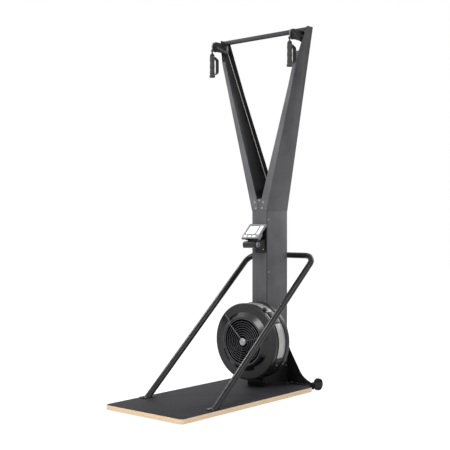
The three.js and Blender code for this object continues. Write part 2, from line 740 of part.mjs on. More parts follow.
function makeDamper() {
  const [front, back] = [cowlBack + runningGap, bandFront - runningGap];
  const band = spin([
    [ringInner, front], [drumRadius - 1.5, front], [drumRadius - 1.5, front + 3], [ringOuter, front + 3],
    [ringOuter, back - 3], [bandRadius, back - 3], [bandRadius, back], [ringInner, back],
  ], fanSegments);
  const stem = box(-8, 8, cowlBack + 5, bandFront - 5, ringOuter - 1, drumRadius + 6);
  const knob = plateXZ(outline([
    [-12, drumRadius + 4], [12, drumRadius + 4], [15, drumRadius + 14], [-15, drumRadius + 14],
  ], 4), cowlBack + 1.5, bandFront - 1.5);
  const lever = turnFan(join(stem, knob), damperAngle);

  // Shutter that slides over the screen with the ring
  const over = bandRadius + runningGap;
  const shutterBack = bandBack - 2 * runningGap;
  const hoop = spin([
    [bandRadius - 1, back - 3], [over + 2.4, back - 3], [over + 2.4, shutterBack], [over, shutterBack],
    [over, back], [bandRadius - 1, back],
  ], 2 * fanSegments);
  const rest = sector(shutterTo, shutterFrom + 2 * Math.PI, back - 5, shutterBack + 5);
  add('damper_ring', atFan(join(band, lever, cut(hoop, rest))), colour.black, 0.5);
}

function makeCowl() {
  const shell = spin([
    [drumRadius, cowlBack], [drumRadius, cowlFront + 7], [drumRadius - 2, cowlFront + 2.5],
    [rimRadius, cowlFront], [collarRadius, cowlFront], [grilleRadius + 5, grilleFace + 1],
    [grilleRadius + 2, grilleFace], [grilleRadius, grilleFace], [grilleRadius, grilleFace + 8],
    [grilleRadius + 4, grilleFace + 7], [collarRadius, cowlFront + wall], [rimRadius - 2, cowlFront + wall],
    [drumRadius - wall, cowlFront + 8], [drumRadius - wall, cowlBack],
  ], fanSegments);
  const pockets = [];
  for (let k = 0; k < pocketCount; k += 1) {
    const slot = new THREE.Shape();
    slot.absarc(0, 0, collarRadius + 4, 1.31, 1.83, false);
    slot.absarc(0, 0, collarRadius - 18, 1.83, 1.31, true);
    slot.closePath();
    pockets.push(turnFan(plateXZ(slot, grilleFace - 5, cowlFront + 20, 3), pocketTurn + k * Math.PI / 2));
  }
  add('fan_front_cowl', atFan(cut(shell, ...pockets)), colour.plastic, 0.45);
}

function makeGrille() {
  const back = grilleFace + 4;
  const rims = [];
  for (let k = 0; k < wireCount; k += 1) {
    const radius = firstWire + k * wirePitch;
    rims.push(spin([[radius, back], [radius + wireSize / 2, back - wireSize], [radius + wireSize, back]], 16));
  }
  const outer = ring(grilleRadius - gap - 3, grilleRadius - gap, back - wireSize, back + 2, fanSegments);
  const hub = disc(16, back - wireSize, back + 2, 16);
  const spokes = [];
  for (let k = 0; k < spokeCount; k += 1) {
    const spoke = box(-1.3, 1.3, back - 0.8, back + 1.6, 12, grilleRadius - 2);
    spokes.push(turnFan(spoke, 2 * Math.PI * k / spokeCount - spokeTurn));
  }
  add('fan_grille', atFan(join(hub, outer, ...rims, ...spokes)), colour.plastic, 0.5);
  const cap = spin([
    [0, grilleFace - 4], [13, grilleFace - 4], [16.5, grilleFace - 2], [18, back - wireSize - gap],
    [0, back - wireSize - gap],
  ], 16);
  add('grille_cap', atFan(cap), colour.chrome, 0.4, 0.7);
}

function makeFanWheel() {
  const bore = axleRadius + gap;
  const disk = spin([
    [bore, hubFront], [24, hubFront], [28, hubFront + 6], [32, wheelBack], [bladeTip - 4, wheelBack],
    [bladeTip - 4, wheelBack + wheelPlate], [bore, wheelBack + wheelPlate],
  ], 24);
  const shroud = ring(bladeTip - wheelShroud, bladeTip, wheelFront, wheelFront + 3, 24);
  const bladeOutline = outline([[-1.2, 90], [1.2, 90], [9, bladeTip - 3], [6.5, bladeTip - 3]]);
  const blades = [];
  for (let k = 0; k < bladeCount; k += 1) {
    const blade = plateXZ(bladeOutline, wheelFront + 1.5, wheelBack + 1);
    blades.push(turnFan(blade, 2 * Math.PI * k / bladeCount));
  }
  add('fan_wheel', atFan(join(disk, shroud, ...blades)), colour.black, 0.5, 0.3);

  const axle = join(
    disc(axleRadius, hubFront - 6, columnBack - sheet - 3, 14),
    disc(axleRadius + 6, hubFront - 7, hubFront - gap, 6));
  add('fan_axle', atFan(axle), colour.chrome, 0.35, 0.9);

  const bearing = (from, to) => spin([
    [axleRadius + 0.4, from], [bearingRadius, from], [bearingRadius, to], [axleRadius + 0.4, to]], 14);
  const bearingLength = 16;
  const front = bearing(columnFront + sheet + gap, columnFront + sheet + bearingLength);
  const rear = bearing(columnBack - sheet - bearingLength, columnBack - sheet - gap);
  add('front_axle_bearing', atFan(front), colour.silver, 0.4, 0.7);
  add('rear_axle_bearing', atFan(rear), colour.silver, 0.4, 0.7);
  add('left_cord_reel', makeReel(reelYs[0]), colour.black, 0.5);
  add('right_cord_reel', makeReel(reelYs[1]), colour.black, 0.5);
}

// Monitor: bracket and pivot stand upright, the rest lies in a frame tilted with the face
const faceFoot = [0, barrelY - 17, barrelHeight + 41];
const bezelDepth = 6;
const caseDepth = 12;
const bulgeDepth = 26;
const barrelLeft = -60;
const barrelRight = 44;
const cheekThickness = 4;
const bracketPlateHalf = 84;
const bracketPlateRise = 28;
const wingInner = -40;
const neckRise = 61;
const neckReach = 36;
const pivotRadius = 5;
const bezelHalf = monitorWidth / 2;
const buttonWide = (monitorWidth - 34) / 4;
const buttonTall = 15;
const buttonLow = 11;
const buttonXs = [26 - bezelHalf, -8, bezelHalf - 42];

function makeBracket() {
  const plateBack = columnFront - gap;
  const plate = plateXZ(rectangle(barrelRight + 6, bracketPlateHalf, 8), plateBack - sheet, plateBack);
  move(plate, 0, 0, barrelHeight + bracketPlateRise);
  const cheeks = [barrelLeft - gap - cheekThickness, barrelRight + gap].map((x) => plateYZ(outline([
    [barrelY - barrelRadius, barrelHeight - 20, 18], [plateBack - sheet + 1, bracketSpan[0]],
    [plateBack - sheet + 1, bracketSpan[1]], [barrelY + 26, barrelHeight + 22, 20],
    [barrelY - barrelRadius, barrelHeight + 20, 18],
  ]), x, x + cheekThickness));
  const wing = box(
    barrelLeft - gap - cheekThickness, wingInner, plateBack - sheet, plateBack - 0.5, ...bracketSpan);
  const bolthole = rod([barrelLeft - 20, barrelY, barrelHeight], [barrelRight + 20, barrelY, barrelHeight],
    pivotRadius + 2 * gap, 12);
  add('monitor_bracket', cut(join(plate, wing, ...cheeks), bolthole), colour.black, 0.5, 0.3);
}

function makeMonitor() {
  const shell = aboutX(ring(pivotRadius + gap, barrelRadius, barrelLeft, barrelRight, 20));
  const neckTop = barrelHeight + neckRise;
  const neck = plateYZ(outline([
    [barrelY - 8, barrelHeight + 14], [barrelY + 12, barrelHeight + 14], [barrelY + neckReach, neckTop - 6],
    [barrelY + 20, neckTop + 6],
  ]), -24, 24);
  const frame = new THREE.Group();
  frame.position.set(...faceFoot);
  frame.rotation.x = -monitorTilt;
  frame.updateMatrixWorld(true);
  const clearance = box(-60, 60, caseDepth - 10, bulgeDepth + gap, 5, 100).applyMatrix4(frame.matrixWorld);
  add('pivot_barrel', cut(join(move(shell, 0, barrelY, barrelHeight), neck), clearance), colour.plastic, 0.45);

  const addTilted = (name, geometry, hue, roughness) => frame.add(add(name, geometry, hue, roughness));
  const window = (x0, x1, z0, z1, slack = 0) => (
    box(x0 - slack, x1 + slack, -5, bezelDepth + 5, z0 - slack, z1 + slack));
  const lcd = [15 - bezelHalf, bezelHalf - 47, 40, monitorTall - 20];
  const strip = [bezelHalf - 37, bezelHalf - 13, 36, monitorTall - 16];
  const face = move(plateXZ(rectangle(bezelHalf, monitorTall / 2, 9), 0, bezelDepth), 0, 0, monitorTall / 2);
  const holes = buttonXs.map((x) => window(x - buttonWide / 2, x + buttonWide / 2, buttonLow,
    buttonLow + buttonTall, gap));
  addTilted('monitor_bezel', cut(face, window(...lcd), window(...strip), ...holes), colour.bezel, 0.4);
  const pane = ([x0, x1, z0, z1], y0) => box(x0 + gap, x1 - gap, y0, bezelDepth - gap, z0 + gap, z1 - gap);
  addTilted('monitor_screen', pane(lcd, 1.6), colour.screen, 0.2);
  addTilted('screen_side_strip', pane(strip, 0.8), colour.screen, 0.4);
  const back = move(plateXZ(rectangle(bezelHalf - 1.5, monitorTall / 2 - 1.5, 8), bezelDepth + gap, caseDepth),
    0, 0, monitorTall / 2);
  const [bulgeHalf, bulgeTop] = [bezelHalf - 23, monitorTall - 42];
  const bulge = plateXZ(outline([
    [-bulgeHalf, 10], [bulgeHalf, 10], [bulgeHalf, bulgeTop], [-bulgeHalf, bulgeTop],
  ], 8), caseDepth - 1, bulgeDepth);
  addTilted('monitor_case', join(back, bulge), colour.plastic, 0.5);
  ['left_button', 'middle_button', 'right_button'].forEach((name, i) => {
    const x = buttonXs[i];
    const keyOutline = rectangle(buttonWide / 2, buttonTall / 2, 3);
    const key = plateXZ(keyOutline, -1.5, bezelDepth - 1.6);
    addTilted(name, move(key, x, 0, buttonLow + buttonTall / 2), colour.key, 0.5);
  });
  machine.add(frame);

  const knobFrom = barrelRight + 2 * gap + cheekThickness;
  const knob = spin([
    [0, knobFrom], [12, knobFrom], [16, knobFrom + 3], [16, knobFrom + 12], [13, knobFrom + 15],
    [8, knobFrom + 15], [6, knobFrom + 12], [0, knobFrom + 12],
  ], 14);
  const stud = disc(pivotRadius, barrelLeft - cheekThickness - 4, knobFrom + 1, 10);
  const end = disc(9, barrelLeft - cheekThickness - 7, barrelLeft - cheekThickness - 2 * gap, 6);
  add('tilt_knob', move(aboutX(join(knob, stud, end)), 0, barrelY, barrelHeight), colour.black, 0.4);
}

// Brace
const braceY = columnBack + gap + braceRadius;
const footPlate = 5;
const bendRadius = 80;
const clampHalf = 34;

function makeBrace() {
  const path = bendPath([
    [-braceHalf, braceFootY - 24, 16], [-braceHalf, braceY, braceHeight, bendRadius],
    [braceHalf, braceY, braceHeight, bendRadius], [braceHalf, braceFootY - 24, 16],
  ], 5);
  const trimHalf = braceHalf + 60;
  const trim = box(
    -trimHalf, trimHalf, braceFootY - 120, braceFootY + 120, -40, floorTop + footPlate / 2);
  const feet = [-1, 1].map((side) => {
    const foot = plateXY(rectangle(30, 42, 12), floorTop + gap, floorTop + footPlate);
    return move(foot, side * braceHalf, braceFootY - 6, 0);
  });
  add('brace_tube', join(cut(bar(path, braceRadius, 12), trim), ...feet), colour.black, 0.35, 0.4);

  const seat = columnBack + gap;
  const inner = braceRadius + gap;
  const outer = inner + sheet;
  const hoop = join(
    move(aboutX(disc(outer, -clampHalf, clampHalf, 20)), 0, braceY, braceHeight),
    box(-clampHalf, clampHalf, seat, braceY, braceHeight - outer, braceHeight + outer));
  const flange = box(-clampHalf, clampHalf, seat, seat + 4, braceHeight - 50, braceHeight + 50);
  const clear = clampHalf + 6;
  const channel = join(
    move(aboutX(disc(inner, -clear, clear, 20)), 0, braceY, braceHeight),
    box(-clear, clear, seat - 20, braceY, braceHeight - inner, braceHeight + inner));
  const front = box(-60, 60, seat - 60, seat, braceHeight - 80, braceHeight + 80);
  add('brace_clamp', cut(join(hoop, flange), channel, front), colour.black, 0.45, 0.3);
}

makeHousing();
makeDamper();
makeCowl();
makeGrille();
makeFanWheel();
makeBracket();
makeMonitor();
makeBrace();

export default machine;
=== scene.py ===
# Ski trainer machine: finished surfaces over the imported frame
from functools import partial
from math import cos, pi, radians, sin, tan, tau

import bpy
import bmesh
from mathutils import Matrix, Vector


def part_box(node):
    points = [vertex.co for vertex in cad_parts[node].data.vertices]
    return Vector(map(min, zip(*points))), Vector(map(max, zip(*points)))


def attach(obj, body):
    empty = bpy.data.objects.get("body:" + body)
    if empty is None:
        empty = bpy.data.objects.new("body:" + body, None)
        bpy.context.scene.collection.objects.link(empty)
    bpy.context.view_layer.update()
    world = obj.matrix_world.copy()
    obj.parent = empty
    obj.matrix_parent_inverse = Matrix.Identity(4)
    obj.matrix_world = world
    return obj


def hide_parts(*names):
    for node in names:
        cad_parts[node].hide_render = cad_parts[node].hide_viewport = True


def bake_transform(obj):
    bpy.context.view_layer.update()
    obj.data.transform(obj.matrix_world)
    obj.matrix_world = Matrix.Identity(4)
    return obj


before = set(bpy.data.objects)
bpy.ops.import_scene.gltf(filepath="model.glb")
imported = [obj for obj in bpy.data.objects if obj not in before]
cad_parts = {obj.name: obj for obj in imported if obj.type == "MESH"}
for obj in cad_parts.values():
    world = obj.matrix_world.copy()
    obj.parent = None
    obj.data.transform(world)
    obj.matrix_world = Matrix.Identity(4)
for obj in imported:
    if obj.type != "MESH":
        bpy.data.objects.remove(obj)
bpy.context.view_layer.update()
print("frame loaded:", len(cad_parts), "nodes")

scene = bpy.context.scene
scene.view_settings.view_transform = "Standard"

# Sizes and places of pieces are in mm, and the functions that call Blender turn them into metres
mm = 0.001


def metres(values):
    return [value * mm for value in values]


def boxOf(node):
    return [[value / mm for value in corner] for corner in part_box(node)]


# Centre lines and faces that several pieces share, read from the frame
housingLow, housingHigh = boxOf("fan_rear_housing")
fanCentre = (housingLow[2] + housingHigh[2]) / 2
columnHalf, columnBack, columnTop = boxOf("column_channel")[1]
coverFront = boxOf("column_front_cover")[0][1]
matTop = boxOf("platform_mat")[1][2]
hands = ((-1, "left"), (1, "right"))

# The camera's place is in metres
camera = {"place": (3.506, -4.079, 1.080), "heading": 40.4, "lens": 70.4, "sensor": 36.0,
          "rise": -0.0044, "far": 60}


def makeCamera():
    data = bpy.data.cameras.new("camera")
    data.lens = camera["lens"]
    data.sensor_width = camera["sensor"]
    data.shift_y = camera["rise"]
    data.clip_end = camera["far"]
    eye = bpy.data.objects.new("camera", data)
    eye.location = camera["place"]
    eye.rotation_euler = (radians(90), 0, radians(camera["heading"]))
    scene.collection.objects.link(eye)
    scene.camera = eye


# Selection, edit mode and placing

def deselectAll():
    if bpy.context.mode != "OBJECT":
        bpy.ops.object.mode_set(mode="OBJECT")
    bpy.ops.object.select_all(action="DESELECT")


def activate(piece):
    deselectAll()
    piece.select_set(True)
    bpy.context.view_layer.objects.active = piece


def edit(piece, mode="VERT", action="DESELECT"):
    activate(piece)
    bpy.ops.object.mode_set(mode="EDIT")
    bpy.ops.mesh.select_mode(type=mode)
    bpy.ops.mesh.select_all(action=action)


def endEdit():
    bpy.ops.object.mode_set(mode="OBJECT")


def selectWhere(piece, kind, test):
    # kind is verts, edges or faces; test gets the place of a vertex in mm or the element itself
    mesh = bmesh.from_edit_mesh(piece.data)
    for element in getattr(mesh, kind):
        element.select_set(bool(test(element.co / mm if kind == "verts" else element)))
    mesh.select_flush_mode()
    bmesh.update_edit_mesh(piece.data)


def shift(piece, test, step):
    # Moves the corners that the test picks by their place
    edit(piece)
    selectWhere(piece, "verts", test)
    bpy.ops.transform.translate(value=metres(step))
    endEdit()


def applyAll(piece):
    activate(piece)
    bpy.ops.object.transform_apply(location=True, rotation=True, scale=True)


def place(piece, turn=(0, 0, 0), at=(0, 0, 0)):
    piece.rotation_euler = [radians(angle) for angle in turn]
    piece.location = metres(at)
    applyAll(piece)
    return piece


def addModifier(piece, kind, **settings):
    activate(piece)
    modifier = piece.modifiers.new(kind.lower(), kind)
    for key, value in settings.items():
        setattr(modifier, key, value)
    bpy.ops.object.modifier_apply(modifier=modifier.name)


def bevelEdges(piece, width, segments=2, angle=35):
    addModifier(piece, "BEVEL", width=width * mm, segments=segments, limit_method="ANGLE",
                angle_limit=radians(angle), use_clamp_overlap=True)


def copyOf(piece, name):
    twin = piece.copy()
    twin.data = piece.data.copy()
    twin.name = name
    scene.collection.objects.link(twin)
    return twin


def joined(name, pieces):
    deselectAll()
    for piece in pieces:
        piece.select_set(True)
    bpy.context.view_layer.objects.active = pieces[0]
    if len(pieces) > 1:
        bpy.ops.object.join()
    pieces[0].name = name
    return pieces[0]


def cleanUp(piece, fill=False):
    # Doubles merged, open ends closed where asked for, and faces turned outwards
    edit(piece, action="SELECT")
    bpy.ops.mesh.remove_doubles(threshold=1e-6)
    if fill:
        bpy.ops.mesh.fill_holes(sides=0)
        bpy.ops.mesh.select_all(action="SELECT")
    bpy.ops.mesh.normals_make_consistent(inside=False)
    endEdit()


def finish(piece, body, material, stands=(), smooth=35):
    activate(piece)
    bpy.ops.object.shade_smooth_by_angle(angle=radians(smooth))
    piece.data.materials.clear()
    piece.data.materials.append(material)
    if body:
        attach(piece, body)
    if stands:
        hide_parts(*stands)
    return piece


# Starting forms

def block(name, low, high, rounding=0):
    deselectAll()
    bpy.ops.mesh.primitive_cube_add(size=1, location=metres((a + b) / 2 for a, b in zip(low, high)))
    piece = bpy.context.object
    piece.name = name
    piece.scale = metres(b - a for a, b in zip(low, high))
    applyAll(piece)
    if rounding:
        bevelEdges(piece, rounding)
    return piece


def roundedPlate(name, low, high, axis, corner, edge=0.0):
    # Block whose four edges along one axis are rounded by a corner radius
    piece = block(name, low, high)
    edit(piece, "EDGE")
    selectWhere(piece, "edges",
                lambda e: abs((e.verts[0].co - e.verts[1].co).normalized()[axis]) > 0.99)
    bpy.ops.mesh.bevel(offset=corner * mm, segments=6, affect="EDGES")
    endEdit()
    if edge:
        bevelEdges(piece, edge, 2, 50)
    return piece


def hexagon(radius, low, high):
    # Six-sided bar along Z; radius is that of its corners
    deselectAll()
    bpy.ops.mesh.primitive_cylinder_add(vertices=6, radius=radius * mm, depth=(high - low) * mm,
                                        location=(0, 0, (low + high) / 2 * mm))
    piece = bpy.context.object
    applyAll(piece)
    return piece


def turned(name, profile, steps=96, solid=False):
    # Rings extruded one after the other about Z; profile gives the radius and height of each
    rings = [metres(ring) for ring in profile]
    before = rings[0]
    deselectAll()
    bpy.ops.mesh.primitive_circle_add(vertices=steps, radius=before[0], location=(0, 0, 0))
    piece = bpy.context.object
    piece.name = name
    edit(piece, action="SELECT")
    bpy.ops.transform.translate(value=(0, 0, before[1]))
    for ring in rings[1:] + ([] if solid else [rings[0]]):
        bpy.ops.mesh.extrude_edges_move(TRANSFORM_OT_translate={"value": (0, 0, ring[1] - before[1])})
        ratio = ring[0] / before[0]
        bpy.ops.transform.resize(value=(ratio, ratio, 1), center_override=(0, 0, ring[1]))
        before = ring
    endEdit()
    cleanUp(piece, fill=solid)
    return piece


def bentPath(corners, steps=8):
    # Straight runs joined by arcs: each corner is its place and bend radius
    path = []
    for i, (spot, radius) in enumerate(corners):
        corner = Vector(spot)
        if i in (0, len(corners) - 1) or not radius:
            path.append(corner)
            continue
        back = (Vector(corners[i - 1][0]) - corner).normalized()
        ahead = (Vector(corners[i + 1][0]) - corner).normalized()
        half = back.angle(ahead) / 2
        centre = corner + (back + ahead).normalized() * (radius / sin(half))
        first = (corner + back * (radius / tan(half)) - centre).normalized()
        last = (corner + ahead * (radius / tan(half)) - centre).normalized()
        path += [centre + first.slerp(last, step / steps) * radius for step in range(steps + 1)]
    return [point for i, point in enumerate(path) if i == 0 or (point - path[i - 1]).length > 1e-3]


def revolved(name, corners, axis, at, steps=64, rounding=4):
    # Body of revolution about X, Y or Z through a point; a corner is its radius, distance and rounding
    path = bentPath([((radius, distance, 0), size) for radius, distance, size in corners], rounding)
    turn = {"X": (0, 90, 0), "Y": (-90, 0, 0), "Z": (0, 0, 0)}[axis]
    return place(turned(name, [(point.x, point.y) for point in path], steps), turn=turn, at=at)


def lifted(profile, height):
    return [(radius, distance + height, size) for radius, distance, size in profile]


def bothEnds(half):
    # A profile and its mirror image about zero
    return half + [(radius, -distance, size) for radius, distance, size in reversed(half)]


def subtract(piece, cutters):
    for cutter in cutters:
        addModifier(piece, "BOOLEAN", operation="DIFFERENCE", solver="EXACT", object=cutter)
        bpy.data.objects.remove(cutter, do_unlink=True)
    cleanUp(piece)


def softened(node, name, width, segments=2, angle=30):
    # Copy of a sheet-metal solid with its edges eased
    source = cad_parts[node]
    piece = bpy.data.objects.new(name, source.data.copy())
    scene.collection.objects.link(piece)
    cleanUp(piece)
    edit(piece, action="SELECT")
    bpy.ops.mesh.dissolve_limited(angle_limit=radians(1))
    endEdit()
    bevelEdges(piece, width, segments, angle)
    return piece


def pipe(name, points, radius, sides=24):
    # Round bar along a path of points, made from a curve
    data = bpy.data.curves.new(name, "CURVE")
    data.dimensions = "3D"
    data.bevel_depth = radius * mm
    data.bevel_resolution = sides // 4 - 2
    data.use_fill_caps = True
    spline = data.splines.new("POLY")
    spline.points.add(len(points) - 1)
    for point, spot in zip(spline.points, points):
        point.co = (*metres(spot), 1)
    piece = bpy.data.objects.new(name, data)
    scene.collection.objects.link(piece)
    activate(piece)
    bpy.ops.object.convert(target="MESH")
    cleanUp(bpy.context.object)
    return bpy.context.object


# Materials

def linear(hexColour):
    channels = [int(hexColour[i:i + 2], 16) / 255 for i in (1, 3, 5)]
    return tuple(c / 12.92 if c <= 0.04045 else ((c + 0.055) / 1.055) ** 2.4 for c in channels) + (1.0,)


def addNode(tree, kind, inputs=None, stops=None, **settings):
    # An input is a number, a colour or the output of another node; stops are those of a colour ramp
    node = tree.nodes.new("ShaderNode" + kind)
    for key, value in settings.items():
        setattr(node, key, value)
    for key, value in (inputs or {}).items():
        if isinstance(value, bpy.types.NodeSocket):
            tree.links.new(value, node.inputs[key])
        else:
            node.inputs[key].default_value = value
    while stops and len(node.color_ramp.elements) < len(stops):
        node.color_ramp.elements.new(0.5)
    for i, (position, colour) in enumerate(stops or []):
        node.color_ramp.elements[i].position = position
        node.color_ramp.elements[i].color = linear(colour)
    return node.outputs


def startMaterial(name, look):
    # The shader's own numbers, and the coordinates that every pattern is laid out on
    material = bpy.data.materials.new(name)
    material.use_nodes = True
    tree = material.node_tree
    shader = tree.nodes["Principled BSDF"].inputs
    shader["Metallic"].default_value = look.get("metallic", 0.0)
    shader["Roughness"].default_value = look["roughness"]
    shader["Specular IOR Level"].default_value = look.get("specular", 0.5)
    shader["Coat Weight"].default_value = look.get("coat", 0.0)
    shader["Coat Roughness"].default_value = look.get("coatRoughness", 0.1)
    return material, partial(addNode, tree), addNode(tree, "TexCoord")["Object"]


def dress(material, look, colour, wear, height):
    # Colour, roughness and relief go to the shader: wear moves the roughness over the look's range
    # of gloss, and height is the relief
    tree = material.node_tree
    shader = tree.nodes["Principled BSDF"].inputs
    low, high = [look["roughness"] + step for step in look["gloss"]]
    gloss = addNode(tree, "MapRange", {"Value": wear, "To Min": low, "To Max": high})
    relief = addNode(tree, "Bump", {"Height": height, "Strength": look["relief"],
                                    "Distance": look["deepMm"] * mm})
    tree.links.new(colour, shader["Base Color"])
    tree.links.new(gloss["Result"], shader["Roughness"])
    tree.links.new(relief["Normal"], shader["Normal"])
    return material


def shades(look, low=0.35, high=0.7):
    # Stops of a ramp, by default at the ends of what a noise mostly gives
    return [(low, look["shade"]), (high, look["light"])]


greyPowder = {"shade": "#4a4a4c", "light": "#545457", "dust": "#68686b", "roughness": 0.40,
              "gloss": (-0.06, 0.1), "peelMm": 2.2, "speckMm": 1.5, "cloudMm": 170, "speckFrom": 0.6,
              "speckTo": 0.78, "speckShare": 0.4, "relief": 0.22, "deepMm": 0.12, "specular": 0.16}
# The arms' coat is painted darker towards the top: painted shade
armPowderShadedTop = {**greyPowder, "fade": (1.3, 2.05, 0.52)}
# A lighter copy of the grey coat for the arms' fronts: painted light
flangePowderLit = {**greyPowder, "shade": "#525255", "light": "#5e5e61"}
blackPowder = {**greyPowder, "shade": "#161617", "light": "#202022", "dust": "#2f2f32",
               "roughness": 0.34, "peelMm": 2.0, "cloudMm": 90, "relief": 0.2, "specular": 0.12}
glossPowder = {**greyPowder, "shade": "#161618", "light": "#1d1d1f", "dust": "#2a2a2c",
               "roughness": 0.24, "peelMm": 2.6, "cloudMm": 120, "relief": 0.12, "specular": 0.2}


def powderCoat(name, look):
    # Mild steel, electrostatically powder coated and baked: a satin skin with fine orange peel, pale
    # grit specks in the resin and slow clouds where the coat lies thicker
    material, add, coords = startMaterial(name, look)
    cloud, peel, grit = [add("TexNoise", {"Vector": coords, "Scale": 1 / (look[size] * mm),
                                          "Detail": detail})["Fac"]
                         for size, detail in (("cloudMm", 2.0), ("peelMm", 2.0), ("speckMm", 4.0))]
    coat = add("ValToRGB", {"Fac": cloud}, shades(look, high=0.65))["Color"]
    speck = add("MapRange", {"Value": grit, "From Min": look["speckFrom"], "From Max": look["speckTo"],
                             "To Max": look["speckShare"]})["Result"]
    colour = add("Mix", {0: speck, 6: coat, 7: linear(look["dust"])}, data_type="RGBA")[2]
    if "fade" in look:
        # Painted shade: darker with height, from one level in metres to another
        low, high, least = look["fade"]
        level = add("SeparateXYZ", {"Vector": coords})["Z"]
        fade = add("MapRange", {"Value": level, "From Min": low, "From Max": high, "To Min": 1.0,
                                "To Max": least})
        colour = add("Mix", {0: 1.0, 6: colour, 7: fade["Result"]}, data_type="RGBA",
                     blend_type="MULTIPLY")[2]
    return dress(material, look, colour, cloud, peel)


birch = {"face": "#e2cdb0", "cross": "#cfb18d", "glue": "#8a6a4c", "streak": "#dcd6ce", "plyMm": 1.9,
         "roughness": 0.5, "gloss": (-0.1, 0.1), "coat": 0.25, "grainMm": 3.0, "streakMm": 14.0,
         "wanderMm": 0.25, "fibres": 14, "relief": 0.25, "deepMm": 0.15}


def birchPlywood(name, look):
    # Birch plywood, sawn and clear lacquered: pale and brown plies by turns, dark glue lines between
    # them, and short end-grain streaks along each ply
    material, add, coords = startMaterial(name, look)
    fibres = add("Mapping", {"Vector": coords, "Scale": (1, 1, look["fibres"])})["Vector"]
    grain, streak = [add("TexNoise", {"Vector": fibres, "Scale": 1 / (look[size] * mm),
                                      "Detail": detail})["Fac"]
                     for size, detail in (("grainMm", 5.0), ("streakMm", 4.0))]
    height = add("SeparateXYZ", {"Vector": coords})["Z"]
    wander = add("Math", {0: grain, 1: look["wanderMm"] * mm, 2: height}, operation="MULTIPLY_ADD")[0]
    pairs = add("Math", {0: wander, 1: 2 * look["plyMm"] * mm}, operation="DIVIDE")[0]
    phase = add("Math", {0: pairs}, operation="FRACT")[0]
    face, cross, glue = look["face"], look["cross"], look["glue"]
    plies = add("ValToRGB", {"Fac": phase}, [(0.0, glue), (0.06, face), (0.46, face), (0.5, glue),
                                             (0.56, cross), (0.95, cross)])["Color"]
    shade = add("ValToRGB", {"Fac": streak}, [(0.3, look["streak"]), (0.7, "#ffffff")])["Color"]
    colour = add("Mix", {0: 1.0, 6: plies, 7: shade}, data_type="RGBA", blend_type="MULTIPLY")[2]
    return dress(material, look, colour, grain, grain)


boardFace = {"shade": "#252527", "light": "#2e2e31", "scuff": "#3d3d40", "roughness": 0.74,
             "gloss": (-0.2, -0.04), "specular": 0.05, "dimpleMm": 4.0, "cloudMm": 220, "scuffMm": 30,
             "scuffFrom": 0.58, "scuffTo": 0.85, "scuffShare": 0.35, "relief": 0.3, "deepMm": 0.25}


def filmFacedTop(name, look):
    # Phenolic film pressed with a fine non-slip grid: dull and even, with faint pale scuffs from shoes
    material, add, coords = startMaterial(name, look)
    axes = add("SeparateXYZ", {"Vector": coords})
    waves = []
    for axis in ("X", "Y"):
        turns = add("Math", {0: axes[axis], 1: tau / (look["dimpleMm"] * mm)}, operation="MULTIPLY")[0]
        waves.append(add("Math", {0: turns}, operation="SINE")[0])
    grid = add("Math", {0: waves[0], 1: waves[1]}, operation="MULTIPLY")[0]
    cloud, wear = [add("TexNoise", {"Vector": coords, "Scale": 1 / (look[size] * mm),
                                    "Detail": detail})["Fac"]
                   for size, detail in (("cloudMm", 4.0), ("scuffMm", 6.0))]
    film = add("ValToRGB", {"Fac": cloud}, shades(look, high=0.68))["Color"]
    scuff = add("MapRange", {"Value": wear, "From Min": look["scuffFrom"], "From Max": look["scuffTo"],
                             "To Max": look["scuffShare"]})["Result"]
    colour = add("Mix", {0: scuff, 6: film, 7: linear(look["scuff"])}, data_type="RGBA")[2]
    return dress(material, look, colour, cloud, grid)


cowlPlastic = {"shade": "#151517", "light": "#1b1b1e", "roughness": 0.3, "gloss": (-0.05, 0.12),
               "grainMm": 1.6, "flowMm": 70, "relief": 0.08, "deepMm": 0.1, "specular": 0.2,
               "coat": 0.3, "coatRoughness": 0.2}
darkPlastic = {**cowlPlastic, "light": "#1e1e20", "roughness": 0.42, "grainMm": 1.4, "relief": 0.2,
               "coat": 0.2}
plainPlastic = {**cowlPlastic, "specular": 0.5, "coat": 0.0, "coatRoughness": 0.1}
# Black plastic darkened to near black, partly its own colour and partly painted shade for the inside of
# the drum behind the grille
impellerPlasticShaded = {**plainPlastic, "shade": "#070708", "light": "#0c0c0d", "roughness": 0.6,
                   "grainMm": 1.4, "relief": 0.2, "specular": 0.08}
wirePlastic = {**plainPlastic, "shade": "#414145", "light": "#4e4e52", "grainMm": 1.2, "relief": 0.1}
bezelPlastic = {**plainPlastic, "shade": "#626265", "light": "#6d6d70", "roughness": 0.42,
                "grainMm": 1.0, "relief": 0.12, "specular": 0.3}
seamPlastic = {**plainPlastic, "shade": "#97979b", "light": "#a5a5a9", "roughness": 0.4, "grainMm": 1.0,
               "relief": 0.1}
keySilicone = {**seamPlastic, "shade": "#dcdcda", "light": "#ebebe9", "roughness": 0.55}


def mouldedPlastic(name, look):
    # Injection-moulded ABS from a spark-eroded tool: an even fine grain, a soft low sheen and slow
    # flow clouds
    material, add, coords = startMaterial(name, look)
    grain, flow = [add("TexNoise", {"Vector": coords, "Scale": 1 / (look[size] * mm),
                                    "Detail": detail})["Fac"]
                   for size, detail in (("grainMm", 3.0), ("flowMm", 2.0))]
    colour = add("ValToRGB", {"Fac": flow}, shades(look))["Color"]
    return dress(material, look, colour, grain, grain)


zinc = {"shade": "#8f8f94", "light": "#b4b4b9", "metallic": 1.0, "roughness": 0.32,
        "gloss": (-0.08, 0.12), "cloudMm": 9, "spangleMm": 1.5, "relief": 0.08, "deepMm": 0.05}
passivatedZinc = {**zinc, "shade": "#88888c", "light": "#a2a2a6", "metallic": 0.4, "roughness": 0.55,
                  "gloss": (-0.31, -0.11)}


